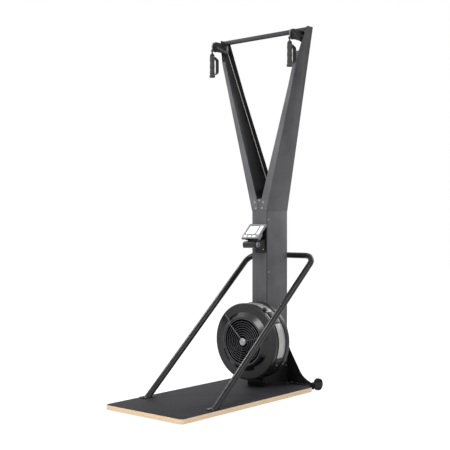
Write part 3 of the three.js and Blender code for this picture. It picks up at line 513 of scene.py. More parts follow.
def zincPlate(name, look):
    # Zinc on steel: a slightly clouded metal, a little duller where it was handled
    material, add, coords = startMaterial(name, look)
    cloud, spangle = [add("TexNoise", {"Vector": coords, "Scale": 1 / (look[size] * mm),
                                       "Detail": detail})["Fac"]
                      for size, detail in (("cloudMm", 4.0), ("spangleMm", 2.0))]
    colour = add("ValToRGB", {"Fac": cloud}, shades(look, 0.3))["Color"]
    return dress(material, look, colour, cloud, spangle)


hoop = {"shade": "#a2a29f", "light": "#aeaeae", "hole": "#6e6e6e", "metallic": 0.6, "roughness": 0.42,
        "gloss": (-0.06, 0.08), "pitchMm": 6.0, "holeMm": 3.0, "radiusMm": 236.0, "rowShare": 0.866,
        "toneMm": 40, "relief": 0.5, "deepMm": 0.4}


def perforatedSheet(name, look):
    # Aluminium strip punched with round holes in staggered rows and rolled to a hoop about the line
    # of the fan
    material, add, coords = startMaterial(name, look)
    pitch = look["pitchMm"] * mm
    centred = add("Mapping", {"Vector": coords, "Location": (0, 0, -fanCentre * mm)})["Vector"]
    axes = add("SeparateXYZ", {"Vector": centred})
    turn = add("Math", {0: axes["X"], 1: axes["Z"]}, operation="ARCTAN2")[0]
    rows = add("Math", {0: axes["Y"], 1: pitch * look["rowShare"]}, operation="DIVIDE")[0]
    row = add("Math", {0: rows}, operation="FLOOR")[0]
    odd = add("Math", {0: row, 1: 2.0}, operation="MODULO")[0]
    # Odd rows are shifted by half a pitch, and the 100 keeps the count above zero
    offset = add("Math", {0: odd, 1: 0.5, 2: 100.0}, operation="MULTIPLY_ADD")[0]
    along = add("Math", {0: turn, 1: look["radiusMm"] * mm / pitch, 2: offset},
                operation="MULTIPLY_ADD")[0]
    inCell = []
    for position in (along, rows):
        share = add("Math", {0: position}, operation="FRACT")[0]
        inCell.append(add("Math", {0: share, 1: 0.5}, operation="SUBTRACT")[0])
    spot = add("CombineXYZ", {"X": inCell[0], "Y": inCell[1]})["Vector"]
    reach = add("VectorMath", {0: spot}, operation="LENGTH")["Value"]
    solid = add("Math", {0: reach, 1: look["holeMm"] / look["pitchMm"] / 2},
                operation="GREATER_THAN")[0]
    tone = add("TexNoise", {"Vector": coords, "Scale": 1 / (look["toneMm"] * mm), "Detail": 3.0})["Fac"]
    sheen = add("ValToRGB", {"Fac": tone}, shades(look, 0.3))["Color"]
    colour = add("Mix", {0: solid, 6: linear(look["hole"]), 7: sheen}, data_type="RGBA")[2]
    return dress(material, look, colour, tone, solid)


padRubber = {"shade": "#131314", "light": "#1d1d1e", "roughness": 0.76, "gloss": (-0.08, 0.08),
             "grainMm": 1.2, "bloomMm": 25, "relief": 0.3, "deepMm": 0.2, "specular": 0.15}
handleRubber = {**padRubber, "shade": "#121213", "light": "#1c1c1e", "roughness": 0.66, "grainMm": 2.4,
                "relief": 0.5, "specular": 0.5}


def mouldedRubber(name, look):
    # Compression-moulded rubber: matt, with a fine pebbled skin and a faint bloom
    material, add, coords = startMaterial(name, look)
    pebble = add("TexVoronoi", {"Vector": coords, "Scale": 1 / (look["grainMm"] * mm)})["Distance"]
    bloom = add("TexNoise", {"Vector": coords, "Scale": 1 / (look["bloomMm"] * mm),
                             "Detail": 3.0})["Fac"]
    colour = add("ValToRGB", {"Fac": bloom}, shades(look))["Color"]
    return dress(material, look, colour, bloom, pebble)


cordBraid = {"shade": "#757573", "light": "#a0a09d", "roughness": 0.8, "gloss": (0.08, -0.06),
             "strandMm": 2.2, "relief": 0.5, "deepMm": 0.3}
strapWeave = {**cordBraid, "shade": "#101011", "light": "#232325", "roughness": 0.84, "strandMm": 2.6}


def braidedPolyester(name, look):
    # Braided or woven polyester: dull strands that cross at a slant, drawn a little coarse so that
    # they show
    material, add, coords = startMaterial(name, look)
    axes = add("SeparateXYZ", {"Vector": coords})
    side = add("Math", {0: axes["X"], 1: axes["Y"]}, operation="ADD")[0]
    strands = []
    for slant in ("ADD", "SUBTRACT"):
        rise = add("Math", {0: axes["Z"], 1: side}, operation=slant)[0]
        turns = add("Math", {0: rise, 1: tau / (look["strandMm"] * mm)}, operation="MULTIPLY")[0]
        strands.append(add("Math", {0: turns}, operation="SINE")[0])
    weave = add("Math", {0: strands[0], 1: strands[1]}, operation="MULTIPLY")[0]
    height = add("MapRange", {"Value": weave, "From Min": -1.0})["Result"]
    colour = add("ValToRGB", {"Fac": height}, shades(look, 0.2))["Color"]
    return dress(material, look, colour, height, height)


display = {"shade": "#e2e5e0", "light": "#f0f2ee", "roughness": 0.12, "gloss": (-0.04, 0.06),
           "coat": 0.6, "cloudMm": 60, "relief": 0.03, "deepMm": 0.05}


def displayWindow(name, look):
    # Clear acrylic over a display that is switched off: pale grey green and glossy, faintly uneven
    material, add, coords = startMaterial(name, look)
    cloud = add("TexNoise", {"Vector": coords, "Scale": 1 / (look["cloudMm"] * mm),
                             "Detail": 1.0})["Fac"]
    colour = add("ValToRGB", {"Fac": cloud}, shades(look, 0.3, 0.75))["Color"]
    return dress(material, look, colour, cloud, cloud)


steelGrey = powderCoat("powder-coated steel, grey", greyPowder)
steelArmShadedTop = powderCoat("powder-coated steel, grey, thicker towards the top", armPowderShadedTop)
steelFlangeLit = powderCoat("powder-coated steel, grey, thin at the flange", flangePowderLit)
steelBlack = powderCoat("powder-coated steel, black", blackPowder)
steelGloss = powderCoat("powder-coated steel, gloss black", glossPowder)
plywood = birchPlywood("birch plywood, clear lacquered", birch)
filmFace = filmFacedTop("film-faced non-slip top", boardFace)
plasticCowl = mouldedPlastic("moulded plastic, charcoal", cowlPlastic)
plasticDark = mouldedPlastic("moulded plastic, black", darkPlastic)
plasticWire = mouldedPlastic("moulded plastic, grille", wirePlastic)
plasticImpellerShaded = mouldedPlastic("moulded plastic, impeller", impellerPlasticShaded)
plasticSeam = mouldedPlastic("moulded plastic, parting line", seamPlastic)
plasticBezel = mouldedPlastic("moulded plastic, light grey", bezelPlastic)
plasticKey = mouldedPlastic("silicone keypad, white", keySilicone)
zincSteel = zincPlate("zinc-plated steel", zinc)
dullZinc = zincPlate("zinc-plated steel, passivated", passivatedZinc)
hoopMetal = perforatedSheet("perforated aluminium", hoop)
rubber = mouldedRubber("moulded rubber, black", padRubber)
gripRubber = mouldedRubber("handle rubber, black", handleRubber)
paleBraid = braidedPolyester("braided polyester cord, pale", cordBraid)
darkBraid = braidedPolyester("woven polyester, black", strapWeave)
acrylic = displayWindow("acrylic display window", display)
print("materials made")


# Floor, backdrop and light; sizes and places here are in metres

stageLook = {"floor": "#f2f2f1", "shown": "#7c7c7b", "size": 30.0, "glow": 0.93}


def shownRays(tree):
    # 1 for the rays that show the backdrop: straight to the camera, mirrored or through glass
    path = addNode(tree, "LightPath")
    seen = addNode(tree, "Math", {0: path["Is Camera Ray"], 1: path["Is Glossy Ray"]},
                   operation="MAXIMUM")[0]
    return addNode(tree, "Math", {0: seen, 1: path["Is Transmission Ray"]}, operation="MAXIMUM")[0]


def makeStage():
    # Paper that lights the object from below, and shows as white where a ray brings it to the eye
    bpy.ops.mesh.primitive_plane_add(size=stageLook["size"], location=(0, 0, 0))
    floor = bpy.context.object
    floor.name = "floor"
    material = bpy.data.materials.new("studio paper")
    material.use_nodes = True
    tree = material.node_tree
    tree.nodes.remove(tree.nodes["Principled BSDF"])
    paper = addNode(tree, "BsdfDiffuse", {"Color": linear(stageLook["floor"])})["BSDF"]
    shown = addNode(tree, "BsdfDiffuse", {"Color": linear(stageLook["shown"])})["BSDF"]
    glow = addNode(tree, "Emission", {"Strength": stageLook["glow"]})["Emission"]
    white = addNode(tree, "AddShader", {0: shown, 1: glow})[0]
    sheet = addNode(tree, "MixShader", {0: shownRays(tree), 1: paper, 2: white})[0]
    tree.links.new(sheet, tree.nodes["Material Output"].inputs["Surface"])
    floor.data.materials.append(material)


worldLook = {"ambient": "#ffffff", "strength": 0.42}


def makeWorld():
    world = bpy.data.worlds.new("studio")
    world.use_nodes = True
    tree = world.node_tree
    background = tree.nodes["Background"]
    strength = addNode(tree, "MapRange", {"Value": shownRays(tree),
                                          "To Min": worldLook["strength"]})["Result"]
    background.inputs["Color"].default_value = linear(worldLook["ambient"])
    tree.links.new(strength, background.inputs["Strength"])
    scene.world = world


lamps = {
    "key": {"place": (1.3, -5.0, 5.3), "aim": (0, 0.2, 0.9), "size": 2.6, "power": 350},
    "fill": {"place": (-0.4, -4.8, 2.4), "aim": (0, 0, 0.9), "size": 2.4, "power": 45},
    "side": {"place": (3.8, 0.6, 4.2), "aim": (0, 0.3, 1.0), "size": 2.2, "power": 86},
    "rim": {"place": (-3.2, 0.2, 3.8), "aim": (0, 0, 0.8), "size": 1.0, "power": 80},
    "back": {"place": (0.4, 5.2, 3.0), "aim": (0, 0.3, 1.0), "size": 2.4, "power": 100},
}


def makeLamps():
    for name, lamp in lamps.items():
        data = bpy.data.lights.new(name, "AREA")
        data.energy = lamp["power"]
        data.size = lamp["size"]
        light = bpy.data.objects.new(name, data)
        light.location = lamp["place"]
        aim = Vector(lamp["aim"]) - Vector(lamp["place"])
        light.rotation_euler = aim.to_track_quat("-Z", "Y").to_euler()
        scene.collection.objects.link(light)


makeCamera()
makeStage()
makeWorld()
makeLamps()
print("stage and light made")


# Fasteners: one of each kind is modelled and copied

fasteners = {
    "hex": {"head": 4.6, "height": 4.4, "washer": 6.6},
    "small": {"head": 4.4, "height": 3.4, "washer": 0},
    "button": {"head": 4.4, "height": 2.6},
}
washerSize = {"thick": 1.3, "edge": 0.3}
# Radius and height over the head's top, and for the dome shares of the head's radius and height
boltEnd = ((2.6, -0.4), (2.6, 0.5), (2.2, 0.8))
domeProfile = ((1, 0), (1, 0.25), (0.86, 0.7), (0.55, 1), (0.42, 1), (0.42, 0.35))


def hexBolt(size):
    thick = washerSize["thick"] if size["washer"] else 0
    top = size["height"]
    head = hexagon(size["head"] / cos(pi / 6), thick, top)
    edit(head, "EDGE")
    selectWhere(head, "edges", lambda e: min(v.co.z for v in e.verts) > (top - 0.01) * mm)
    bpy.ops.mesh.bevel(offset=0.5 * mm, segments=2, affect="EDGES")
    endEdit()
    parts = [head]
    if thick:
        rim = size["washer"]
        profile = [(rim, 0), (rim, thick * 0.8), (rim - washerSize["edge"], thick)]
        parts.append(turned("washer", profile, 24, solid=True))
    parts.append(turned("end", [(radius, top + rise) for radius, rise in boltEnd], 16, solid=True))
    return joined("bolt", parts)


def buttonScrew(size):
    profile = [(size["head"] * wide, size["height"] * high) for wide, high in domeProfile]
    return turned("screw", profile, 18, solid=True)


def spread(name, model, spots, body, material):
    # A copy of the model at each spot, which is a place and the way that the head points
    copies = []
    for at, way in spots:
        twin = copyOf(model, name)
        twin.rotation_euler = Vector((0, 0, 1)).rotation_difference(Vector(way)).to_euler()
        twin.location = metres(at)
        applyAll(twin)
        copies.append(twin)
    bpy.data.objects.remove(model, do_unlink=True)
    return finish(joined(name, copies), body, material)


def mirrored(spots):
    return [((side * x, y, z), (side * way[0], way[1], way[2]))
            for (x, y, z), way in spots for side in (-1, 1)]


# Platform: name, easing, segments of the easing, slot and finish of each piece

platform = {
    "platform_board": ("board", 1.6, 3, "plywood", plywood),
    "platform_mat": ("boardTop", 0.7, 2, "mat_rubber", filmFace),
    "left_foot_strip": ("leftFootStrip", 2, 2, "black_rubber", rubber),
    "right_foot_strip": ("rightFootStrip", 2, 2, "black_rubber", rubber),
}


def makePlatform():
    for node, (name, easing, segments, slot, material) in platform.items():
        finish(softened(node, name, easing, segments, 50), "frame", material, [node])


# Column, arms and base: the folded sheets keep their solids' form, with eased edges

sheetPieces = {
    "column_channel": ("columnChannel", 1.3, "grey_steel", steelGrey),
    "column_front_cover": ("columnCover", 1.0, "grey_steel", steelGrey),
    "left_arm": ("leftArm", 1.3, "grey_steel", steelFlangeLit),
    "right_arm": ("rightArm", 1.3, "grey_steel", steelFlangeLit),
    "rear_junction_plate": ("junctionPlate", 1.0, "black_steel", steelBlack),
    "top_crossbar": ("topCrossbar", 1.0, "grey_steel", steelArmShadedTop),
    "left_pulley_head": ("leftPulleyHead", 0.7, "black_steel", steelBlack),
    "right_pulley_head": ("rightPulleyHead", 0.7, "black_steel", steelBlack),
    "rear_foot": ("rearFoot", 1.0, "black_steel", steelBlack),
    "base_bracket": ("baseBracket", 1.2, "black_steel", steelBlack),
    "rear_gusset": ("rearGusset", 1.4, "black_steel", steelBlack),
    "brace_clamp": ("braceClamp", 0.8, "black_steel", steelBlack),
    "monitor_bracket": ("monitorBracket", 0.9, "black_steel", steelGloss),
}
armSlope = {"out": 0.258, "forward": 0.115}
armSide = {"skin": 1, "leastArea": 40, "sideways": 0.8}
# The monitor's bracket has a cut in its left cheek, a narrower left side and a wider right one
bracketShape = {"cut": ((-70, 260, 880), (-30, 400, 921)), "left": -50, "leftStep": (14, 0, 0),
                "right": 48.7, "rightStep": (10, 0, 0)}


def insideArm(face):
    # True for a face of an arm that looks into its channel
    middle = face.center / mm
    rise = middle.z - columnTop
    depth = columnBack - armSlope["forward"] * rise - middle.y
    width = columnHalf + armSlope["out"] * rise - abs(middle.x)
    large = face.area > armSide["leastArea"] * mm * mm
    return middle.y > coverFront and min(depth, width) > armSide["skin"] and large


def makeSheets():
    b = bracketShape
    for node, (name, easing, slot, material) in sheetPieces.items():
        piece = softened(node, name, easing)
        if node == "monitor_bracket":
            subtract(piece, [block("relief", *b["cut"])])
            shift(piece, lambda p: p.x < b["left"], b["leftStep"])
            shift(piece, lambda p: p.x > b["right"], b["rightStep"])
        finish(piece, "frame", material, [node])
        if node in ("left_arm", "right_arm"):
            # Faces inside each channel take the black coat as painted shade, the fronts the lighter
            # coat as painted light, and the sideways faces the coat painted darker towards the top
            piece.data.materials.append(steelBlack)
            piece.data.materials.append(steelArmShadedTop)
            for face in piece.data.polygons:
                sideways = abs(face.normal.x) > armSide["sideways"]
                face.material_index = 1 if insideArm(face) else 2 * int(sideways)


makePlatform()
makeSheets()
print("platform, column, arms and base made")


# Fan: cowl, grille, damper ring, perforated band and rear housing, all turned about one line along Y

def fanTurned(name, corners, steps=96, rounding=4):
    return revolved(name, corners, "Y", (0, 0, fanCentre), steps, rounding)


def fromFan(corner, x=0):
    # A corner whose height is given from the fan's line
    return corner[0] + x, corner[1], corner[2] + fanCentre


def turnFan(piece, degrees):
    # Turns a finished piece about the fan's line, clockwise as the user sees it
    return place(place(piece, at=(0, 0, -fanCentre)), turn=(0, degrees, 0), at=(0, 0, fanCentre))


def arcBlock(name, low, high, front, back, span, steps=12):
    # Sector of a ring that is centred on straight up, from one radius to another
    deselectAll()
    bpy.ops.mesh.primitive_plane_add(size=1, location=(0, 0, 0))
    piece = bpy.context.object
    piece.name = name
    piece.scale = (*metres((high - low, back - front)), 1)
    place(piece, turn=(0, 90, 0), at=(0, (front + back) / 2, (low + high) / 2))
    edit(place(piece, turn=(0, -span, 0)), action="SELECT")
    bpy.ops.mesh.spin(steps=steps, angle=radians(-2 * span), center=(0, 0, 0), axis=(0, 1, 0))
    endEdit()
    cleanUp(piece, fill=True)
    return place(piece, at=(0, 0, fanCentre))


cowl = {"outer": 242, "back": 257, "face": 236, "shoulder": 233, "collar": 182, "lip": 153,
        "throat": 147, "front": 211, "wall": 3, "pockets": ((141, 22), (237, 15), (327, 15)),
        "pocketLow": 164, "pocketHigh": 186, "pocketDepth": 12, "trayWall": 1.5, "seamTurn": -46,
        "seam": 0.9, "seamFront": 213.4}


def makeCowl():
    c = cowl
    front, face, wall = c["front"], c["face"], c["trayWall"]
    outside = [(c["outer"] - c["wall"], c["back"], 0), (c["outer"], c["back"], 0.6),
               (c["outer"], face, 7), (c["shoulder"], face - 0.6, 3), (c["collar"] + 3, face, 5),
               (c["lip"] + 1, front, 2.2), (c["throat"], front, 1.2), (c["throat"], front + 8, 0)]
    inside = [(c["lip"] - 1, front + 8, 0), (c["collar"] + 1, face + c["wall"], 2),
              (c["shoulder"], face + c["wall"], 3)]
    shell = fanTurned("frontCowl", outside + inside, 128, 6)
    low, high, floor = c["pocketLow"], c["pocketHigh"], face + c["pocketDepth"]
    pockets = [turnFan(arcBlock("pocket", low, high, front - 6, face + 20, span), turn)
               for turn, span in c["pockets"]]
    subtract(shell, pockets)
    trays = []
    for turn, span in c["pockets"]:
        tray = arcBlock("tray", low - wall, high + wall, face - 12, floor, span + 0.8)
        hollow = arcBlock("hollow", low, high, front - 30, floor - 2, span)
        slope = fanTurned("slope", [(100, front - 40, 0), (260, front - 40, 0), (260, face + 1.5, 0),
                                    (c["collar"] + 1, face + 1.5, 0), (c["lip"] - 2, front + 2, 0),
                                    (100, front + 2, 0)], 64)
        subtract(tray, [hollow, slope])
        trays.append(turnFan(tray, turn))
    cover = joined("frontCowl", [shell, *trays])
    finish(cover, "frame", plasticCowl, ["fan_front_cowl"], 30)
    # The parting line runs from the grille's hub over the collar to the rim
    route = [(20, c["seamFront"]), (c["throat"] - 1, c["seamFront"]), (c["lip"] - 2, front - 0.2),
             (c["lip"] + 2, front + 1.4), (c["collar"] + 2, face - 1.4), (c["collar"] + 6, face),
             (c["shoulder"] - 2, face - 0.2)]
    seam = pipe("cowlSeam", [(0, y, fanCentre + reach) for reach, y in route], c["seam"], 12)
    finish(turnFan(seam, c["seamTurn"]), "frame", plasticSeam)


grille = {"front": 213.2, "rim": 146.6, "rimWide": 4.0, "wire": 1.5, "wires": 7, "first": 41.0,
          "pitch": 14.4, "spokes": 6, "spokeHalf": 1.2, "spokeTurn": -46, "hub": 22.8, "back": 217.0}
badge = [(0.2, 207, 0), (14.5, 207, 0.6), (16.5, 208.4, 0.6), (18.7, 207.4, 1.2), (23.2, 209.2, 1.5),
         (23.7, 212.2, 0), (0.2, 212.2, 0)]


def roundRing(name, radius, wire, at):
    # Thin ring of round wire about the fan's line
    turns = [tau * k / 8 for k in range(8)]
    return fanTurned(name, [(radius + wire * cos(turn), at + wire * sin(turn), 0) for turn in turns])


def makeGrille():
    g = grille
    front, back, middle = g["front"], g["back"], g["front"] + g["wire"]
    wires = [roundRing("wire", g["first"] + g["pitch"] * k, g["wire"], middle)
             for k in range(g["wires"])]
    inner = g["rim"] - g["rimWide"]
    rim = fanTurned("rim", [(inner, back, 0), (inner, front, 1), (g["rim"], front, 1),
                            (g["rim"], back, 0)], 128)
    hub = fanTurned("hub", [(0.2, front - 0.4, 0), (g["hub"], front - 0.4, 1), (g["hub"], back, 0),
                            (0.2, back, 0)], 48)
    spokes = []
    for k in range(g["spokes"]):
        spoke = block("spoke", fromFan((-g["spokeHalf"], middle + 0.6, g["hub"] - 2)),
                      fromFan((g["spokeHalf"], back, g["rim"] - 1)), 0.5)
        spokes.append(turnFan(spoke, g["spokeTurn"] + 360 * k / g["spokes"]))
    finish(joined("fanGrille", [rim, hub, *wires, *spokes[::2]]), "frame", plasticWire,
           ["fan_grille"])
    # Every other spoke takes the near-black plastic, which paints it into the shade behind the grille
    finish(joined("grilleStays", spokes[1::2]), "frame", plasticImpellerShaded)
    finish(fanTurned("grilleCap", badge, 64), "frame", dullZinc, ["grille_cap"])


# The lever's stem, knob and grooves are boxes whose heights are given from the fan's line
damper = {"inner": 226, "outer": 240.5, "front": 257.6, "back": 279.4, "rib": 233, "leverTurn": 33,
          "shutterLow": 236.6, "shutterHigh": 239, "shutterBack": 345.8, "shutterTurn": 48,
          "shutterSpan": 11, "stem": ((-7, 262.5, 230), (7, 274.5, 247)),
          "knob": ((-14.5, 259.2, 246), (14.5, 277.8, 255.6)),
          "groove": ((-0.6, 257, 255), (0.6, 280, 257)), "grooveX": (-7.5, -4.5, -1.5, 1.5, 4.5, 7.5)}


def makeDamper():
    d = damper
    front, back, edge = d["front"], d["back"], d["rib"] - 2.5
    low, high = d["shutterLow"], d["shutterHigh"]
    band = fanTurned("damperRing", [
        (d["inner"], back, 0), (d["inner"], front, 0.8), (d["outer"], front, 0.8),
        (d["outer"], front + 3, 0.6), (edge, front + 3.4, 1.2), (edge, back - 3.4, 1.2),
        (d["outer"] - 4.5, back - 3, 0.6), (d["outer"] - 4.5, back, 0.6)], 128, 3)
    stem = block("stem", *map(fromFan, d["stem"]), 1.5)
    knob = roundedPlate("knob", *map(fromFan, d["knob"]), 1, 3.5, 1.2)
    grooves = [block("groove", *[fromFan(corner, x) for corner in d["groove"]]) for x in d["grooveX"]]
    subtract(knob, grooves)
    lever = turnFan(joined("lever", [stem, knob]), d["leverTurn"])
    shutter = arcBlock("shutter", low, high, back - 3, d["shutterBack"], d["shutterSpan"])
    bevelEdges(shutter, 0.6, 2, 50)
    hook = arcBlock("hook", d["rib"], high - 0.3, back - 3, back, d["shutterSpan"] - 1)
    rib = arcBlock("shutterRib", high - 0.3, high + 2.6, back - 2, d["shutterBack"] - 1, 0.5, 2)
    shutter = turnFan(joined("shutter", [shutter, hook, rib]), d["shutterTurn"])
    finish(joined("damperRing", [band, lever, shutter]), "damper", plasticDark,
           ["damper_ring"])


housing = {"outer": 242, "inner": 30, "band": 236, "bandFront": 280, "lipFront": 347, "back": 381.7,
           "posts": 6, "post": 5, "postFront": 239.5, "postRing": 219, "wall": 3, "rear": 4,
           "bandEnd": 116, "strap": 1.3}


def makeHousing():
    h = housing
    keys = ("outer", "band", "bandFront", "lipFront", "back", "bandEnd")
    outer, band, front, lip, back, end = [h[key] for key in keys]
    floor = back - h["rear"]
    shell = fanTurned("rearHousing", [
        (h["inner"], floor, 0), (outer - h["wall"] - 1, floor, 3), (outer - h["wall"], lip + 3, 1),
        (band - 6.4, lip + 3, 1), (band - 6.4, lip - 3, 0.5), (band - 3.4, lip - 3, 0.5),
        (band - 3.4, lip, 0.3), (outer, lip, 1.6), (outer, back, 4), (h["inner"], back, 0)], 128)
    posts = []
    for k in range(h["posts"]):
        post = revolved("post", [(0.2, h["postFront"], 0), (h["post"], h["postFront"], 0.8),
                                 (h["post"], back - 3, 0), (0.2, back - 3, 0)], "Y",
                        (0, 0, fanCentre + h["postRing"]), 24)
        posts.append(turnFan(post, 360 * (k + 0.5) / h["posts"]))
    finish(joined("rearHousing", [shell, *posts]), "frame", plasticDark,
           ["fan_rear_housing"])
    screen = arcBlock("screenBand", band - 3, band, front, lip - 0.3, end, 116)
    bevelEdges(screen, 0.5, 2, 50)
    finish(screen, "frame", hoopMetal, ["fan_screen_band"])
    shroud = arcBlock("lowerShroud", band - 3, band + 2, front, lip - 0.3, 180 - end - 0.1, 64)
    bevelEdges(shroud, 1.0, 2, 50)
    straps = [turnFan(arcBlock("strap", band + 0.2, band + 2.4, front + 1, lip - 1.3, h["strap"], 4),
                      side * (end - 1.6)) for side in (-1, 1)]
    turnFan(shroud, 180)
    finish(joined("lowerShroud", [shroud, *straps]), "frame", plasticDark,
           ["fan_lower_shroud"])


fanWheel = {"tip": 210, "front": 257, "back": 335, "hub": 245, "blades": 12, "bladeHalf": 1.2,
            "root": 90, "plate": 4, "ring": 46, "bore": 10.3, "bends": 6}


def makeFanWheel():
    w = fanWheel
    tip, front, back, ring = w["tip"], w["front"], w["back"], w["tip"] - w["ring"]
    disk = fanTurned("disk", [
        (w["bore"], w["hub"], 0), (24, w["hub"], 1.5), (28, w["hub"] + 6, 3), (32, back, 6),
        (tip - 4, back, 1), (tip - 4, back + w["plate"], 1), (w["bore"], back + w["plate"], 0)])
    shroud = fanTurned("shroud", [(ring, front, 0), (tip, front, 1), (tip, front + 3, 1),
                                  (ring, front + 3, 1)])
    blades = []
    for k in range(w["blades"]):
        blade = block("blade", (-w["bladeHalf"], front + 1.5, w["root"]),
                      (w["bladeHalf"], back + 1, tip - 3))
        edit(blade, action="SELECT")
        bpy.ops.mesh.subdivide(number_cuts=w["bends"] - 1)
        endEdit()
        for step in range(1, w["bends"] + 1):
            reach = w["root"] + (tip - 3 - w["root"]) * step / w["bends"]
            shift(blade, lambda p: p.z > reach - 4, (0.35 + 0.3 * step, 0, 0))
        cleanUp(blade)
        blades.append(turnFan(place(blade, at=(0, 0, fanCentre)), 360 * k / w["blades"]))
    finish(joined("fanWheel", [disk, shroud, *blades]), "fan", plasticImpellerShaded,
           ["fan_wheel"])


makeCowl()
makeGrille()
makeDamper()
makeHousing()
makeFanWheel()
print("fan made")


# Base: transport wheels

wheel = {"centre": (284, 633, 40), "radius": 38, "half": 13, "bore": 5.6, "hub": 12, "rim": 29,
         "web": 4}


def makeWheels():
    w = wheel
    x, y, z = w["centre"]
    end, web = -w["half"], w["web"] - w["half"]
    tyre = revolved("wheel", bothEnds([(w["bore"], end, 0.6), (w["hub"], end, 0.8),
                                       (w["hub"], web, 1.5), (w["rim"], web, 2),
                                       (w["rim"] + 1, end, 0.8), (w["radius"] - 2, end, 1.5),
                                       (w["radius"], end + 3, 3)]), "X", (0, 0, 0))
    for side, hand in hands:
        twin = copyOf(tyre, hand + "Wheel")
        finish(place(twin, at=(side * x, y, z)), hand + "_wheel", rubber,
               [hand + "_transport_wheel"])
    bpy.data.objects.remove(tyre, do_unlink=True)


# Brace: one bent tube with a foot plate at each end

brace = {"half": 267, "footY": -385, "footZ": 16, "topY": 625.3, "topZ": 868, "bend": 80, "radius": 19,
         "plate": (30, 42, 12), "plateY": -367, "plateTop": 41}


def makeBrace():
    b = brace
    half, foot, top = b["half"], (b["footY"], b["footZ"]), (b["topY"], b["topZ"])
    corners = [((-half, *foot), 0), ((-half, *top), b["bend"]), ((half, *top), b["bend"]),
               ((half, *foot), 0)]
    tube = pipe("braceTube", bentPath(corners, 20), b["radius"], 40)
    edit(tube, action="SELECT")
    bpy.ops.mesh.bisect(plane_co=(0, 0, (matTop + 2) * mm), plane_no=(0, 0, 1), clear_inner=True,
                        use_fill=True)
    endEdit()
    halfX, halfY, corner = b["plate"]
    feet = []
    for side in (-1, 1):
        low = (side * half - halfX, b["plateY"] - halfY, matTop + 0.3)
        high = (side * half + halfX, b["plateY"] + halfY, b["plateTop"])
        feet.append(roundedPlate("foot", low, high, 2, corner, 0.8))
    finish(joined("braceTube", [tube, *feet]), "frame", steelGloss, ["brace_tube"])


# Inside the column: axle, bearings and cord reels

shaft = {"radius": 10, "front": 239, "back": 600, "nut": 16, "nutFront": 238, "nutBack": 244.7}
bearing = {"bore": 10.4, "radius": 34, "seal": (17, 26.6), "sunk": 1,
           "places": {"front": (385.3, 401), "rear": (587, 602.7)}}
reel = {"bore": 10.6, "radius": 26, "flange": 34, "groove": 20, "places": {"left": 484, "right": 546}}


def makeShaft():
    s, b, r = shaft, bearing, reel
    axle = fanTurned("axle", [(0.2, s["front"], 0), (s["radius"], s["front"], 1),
                              (s["radius"], s["back"], 1), (0.2, s["back"], 0)], 40)
    half = (s["nutBack"] - s["nutFront"]) / 2
    nut = place(hexagon(s["nut"], -half, half), turn=(90, 0, 0),
                at=(0, s["nutFront"] + half, fanCentre))
    bevelEdges(nut, 0.8)
    finish(joined("fanAxle", [axle, nut]), "fan", zincSteel, ["fan_axle"])
    inner, outer = b["seal"]
    for name, (front, back) in b["places"].items():
        seal = front + b["sunk"]
        race = fanTurned(name + "Bearing", [
            (b["bore"], front, 0.5), (inner, front, 0.5), (inner + 0.6, seal, 0.3),
            (outer - 0.6, seal, 0.3), (outer, front, 0.5), (b["radius"], front, 1.2),
            (b["radius"], back, 1.2), (b["bore"], back, 0.5)], 72)
        finish(race, "frame", zincSteel, [name + "_axle_bearing"])
    bore, radius, flange, groove = r["bore"], r["radius"], r["flange"], r["groove"]
    # Distances from the middle of the drum, with the return cord's groove behind it
    profile = [(bore, -12, 0.6), (flange, -12, 0.8), (flange, -9.5, 0.8), (radius, -8, 1),
               (radius, 8, 1), (flange, 9.5, 0.8), (flange, 12.5, 0.8), (groove, 14.5, 1),
               (groove, 23.5, 1), (radius + 4, 25.5, 0.8), (radius + 4, 28, 0.8), (bore, 28, 0.6)]
    for hand, middle in r["places"].items():
        drum = fanTurned(hand + "Reel", lifted(profile, middle), 64)
        finish(drum, hand + "_reel", plasticDark, [hand + "_cord_reel"])


makeWheels()
makeBrace()
makeShaft()
print("wheels, brace and axle made")


# Pulleys and cords

pulley = {"x": 315, "height": 2241, "topY": 408, "exitY": 312, "radius": 28, "half": 6, "bore": 4.6,
          "flange": 4, "idlerX": 62, "idlerY": 543.8, "idlerZ": 1290, "idlerRadius": 22, "idlerHalf": 8}


def grooved(name, radius, half, axis, at):
    # Sheave with a hub, a thinner web and a grooved rim
    bore, rim, web = pulley["bore"], radius + pulley["flange"], 1.6 - half
    return revolved(name, bothEnds([
        (bore, -half, 0.4), (radius * 0.42, -half, 0.6), (radius * 0.46, web, 0.8),
        (radius * 0.86, web, 0.8), (radius * 0.9, -half, 0.6), (rim, -half, 0.8),
        (rim, 1.3 - half, 0.6), (radius, -1.5, 1.6)]), axis, at, 48)


def makePulleys():
    p = pulley
    for side, hand in hands:
        for name, y in (("top", p["topY"]), ("exit", p["exitY"])):
            sheave = grooved(f"{hand}{name.title()}Pulley", p["radius"], p["half"], "X",
                             (side * p["x"], y, p["height"]))
            finish(sheave, f"{hand}_{name}_pulley", plasticDark,
                   [f"{hand}_{name}_pulley"])
        idler = grooved(hand + "Idler", p["idlerRadius"], p["idlerHalf"], "Y",
                        (side * p["idlerX"], p["idlerY"], p["idlerZ"]))
        finish(idler, hand + "_idler_pulley", plasticDark, [hand + "_idler_pulley"])


cord = {"radius": 2.2, "lie": 30.8, "idlerLie": 25.7, "reelX": 28.8, "reelZ": 336, "armBend": 60,
        "armDrop": 16, "returnX": -23.3, "returnBehind": 19, "returnRadius": 3, "returnLow": 334,
        "returnHigh": 1089.7, "pullLow": 2224.3, "pullSteps": 6}


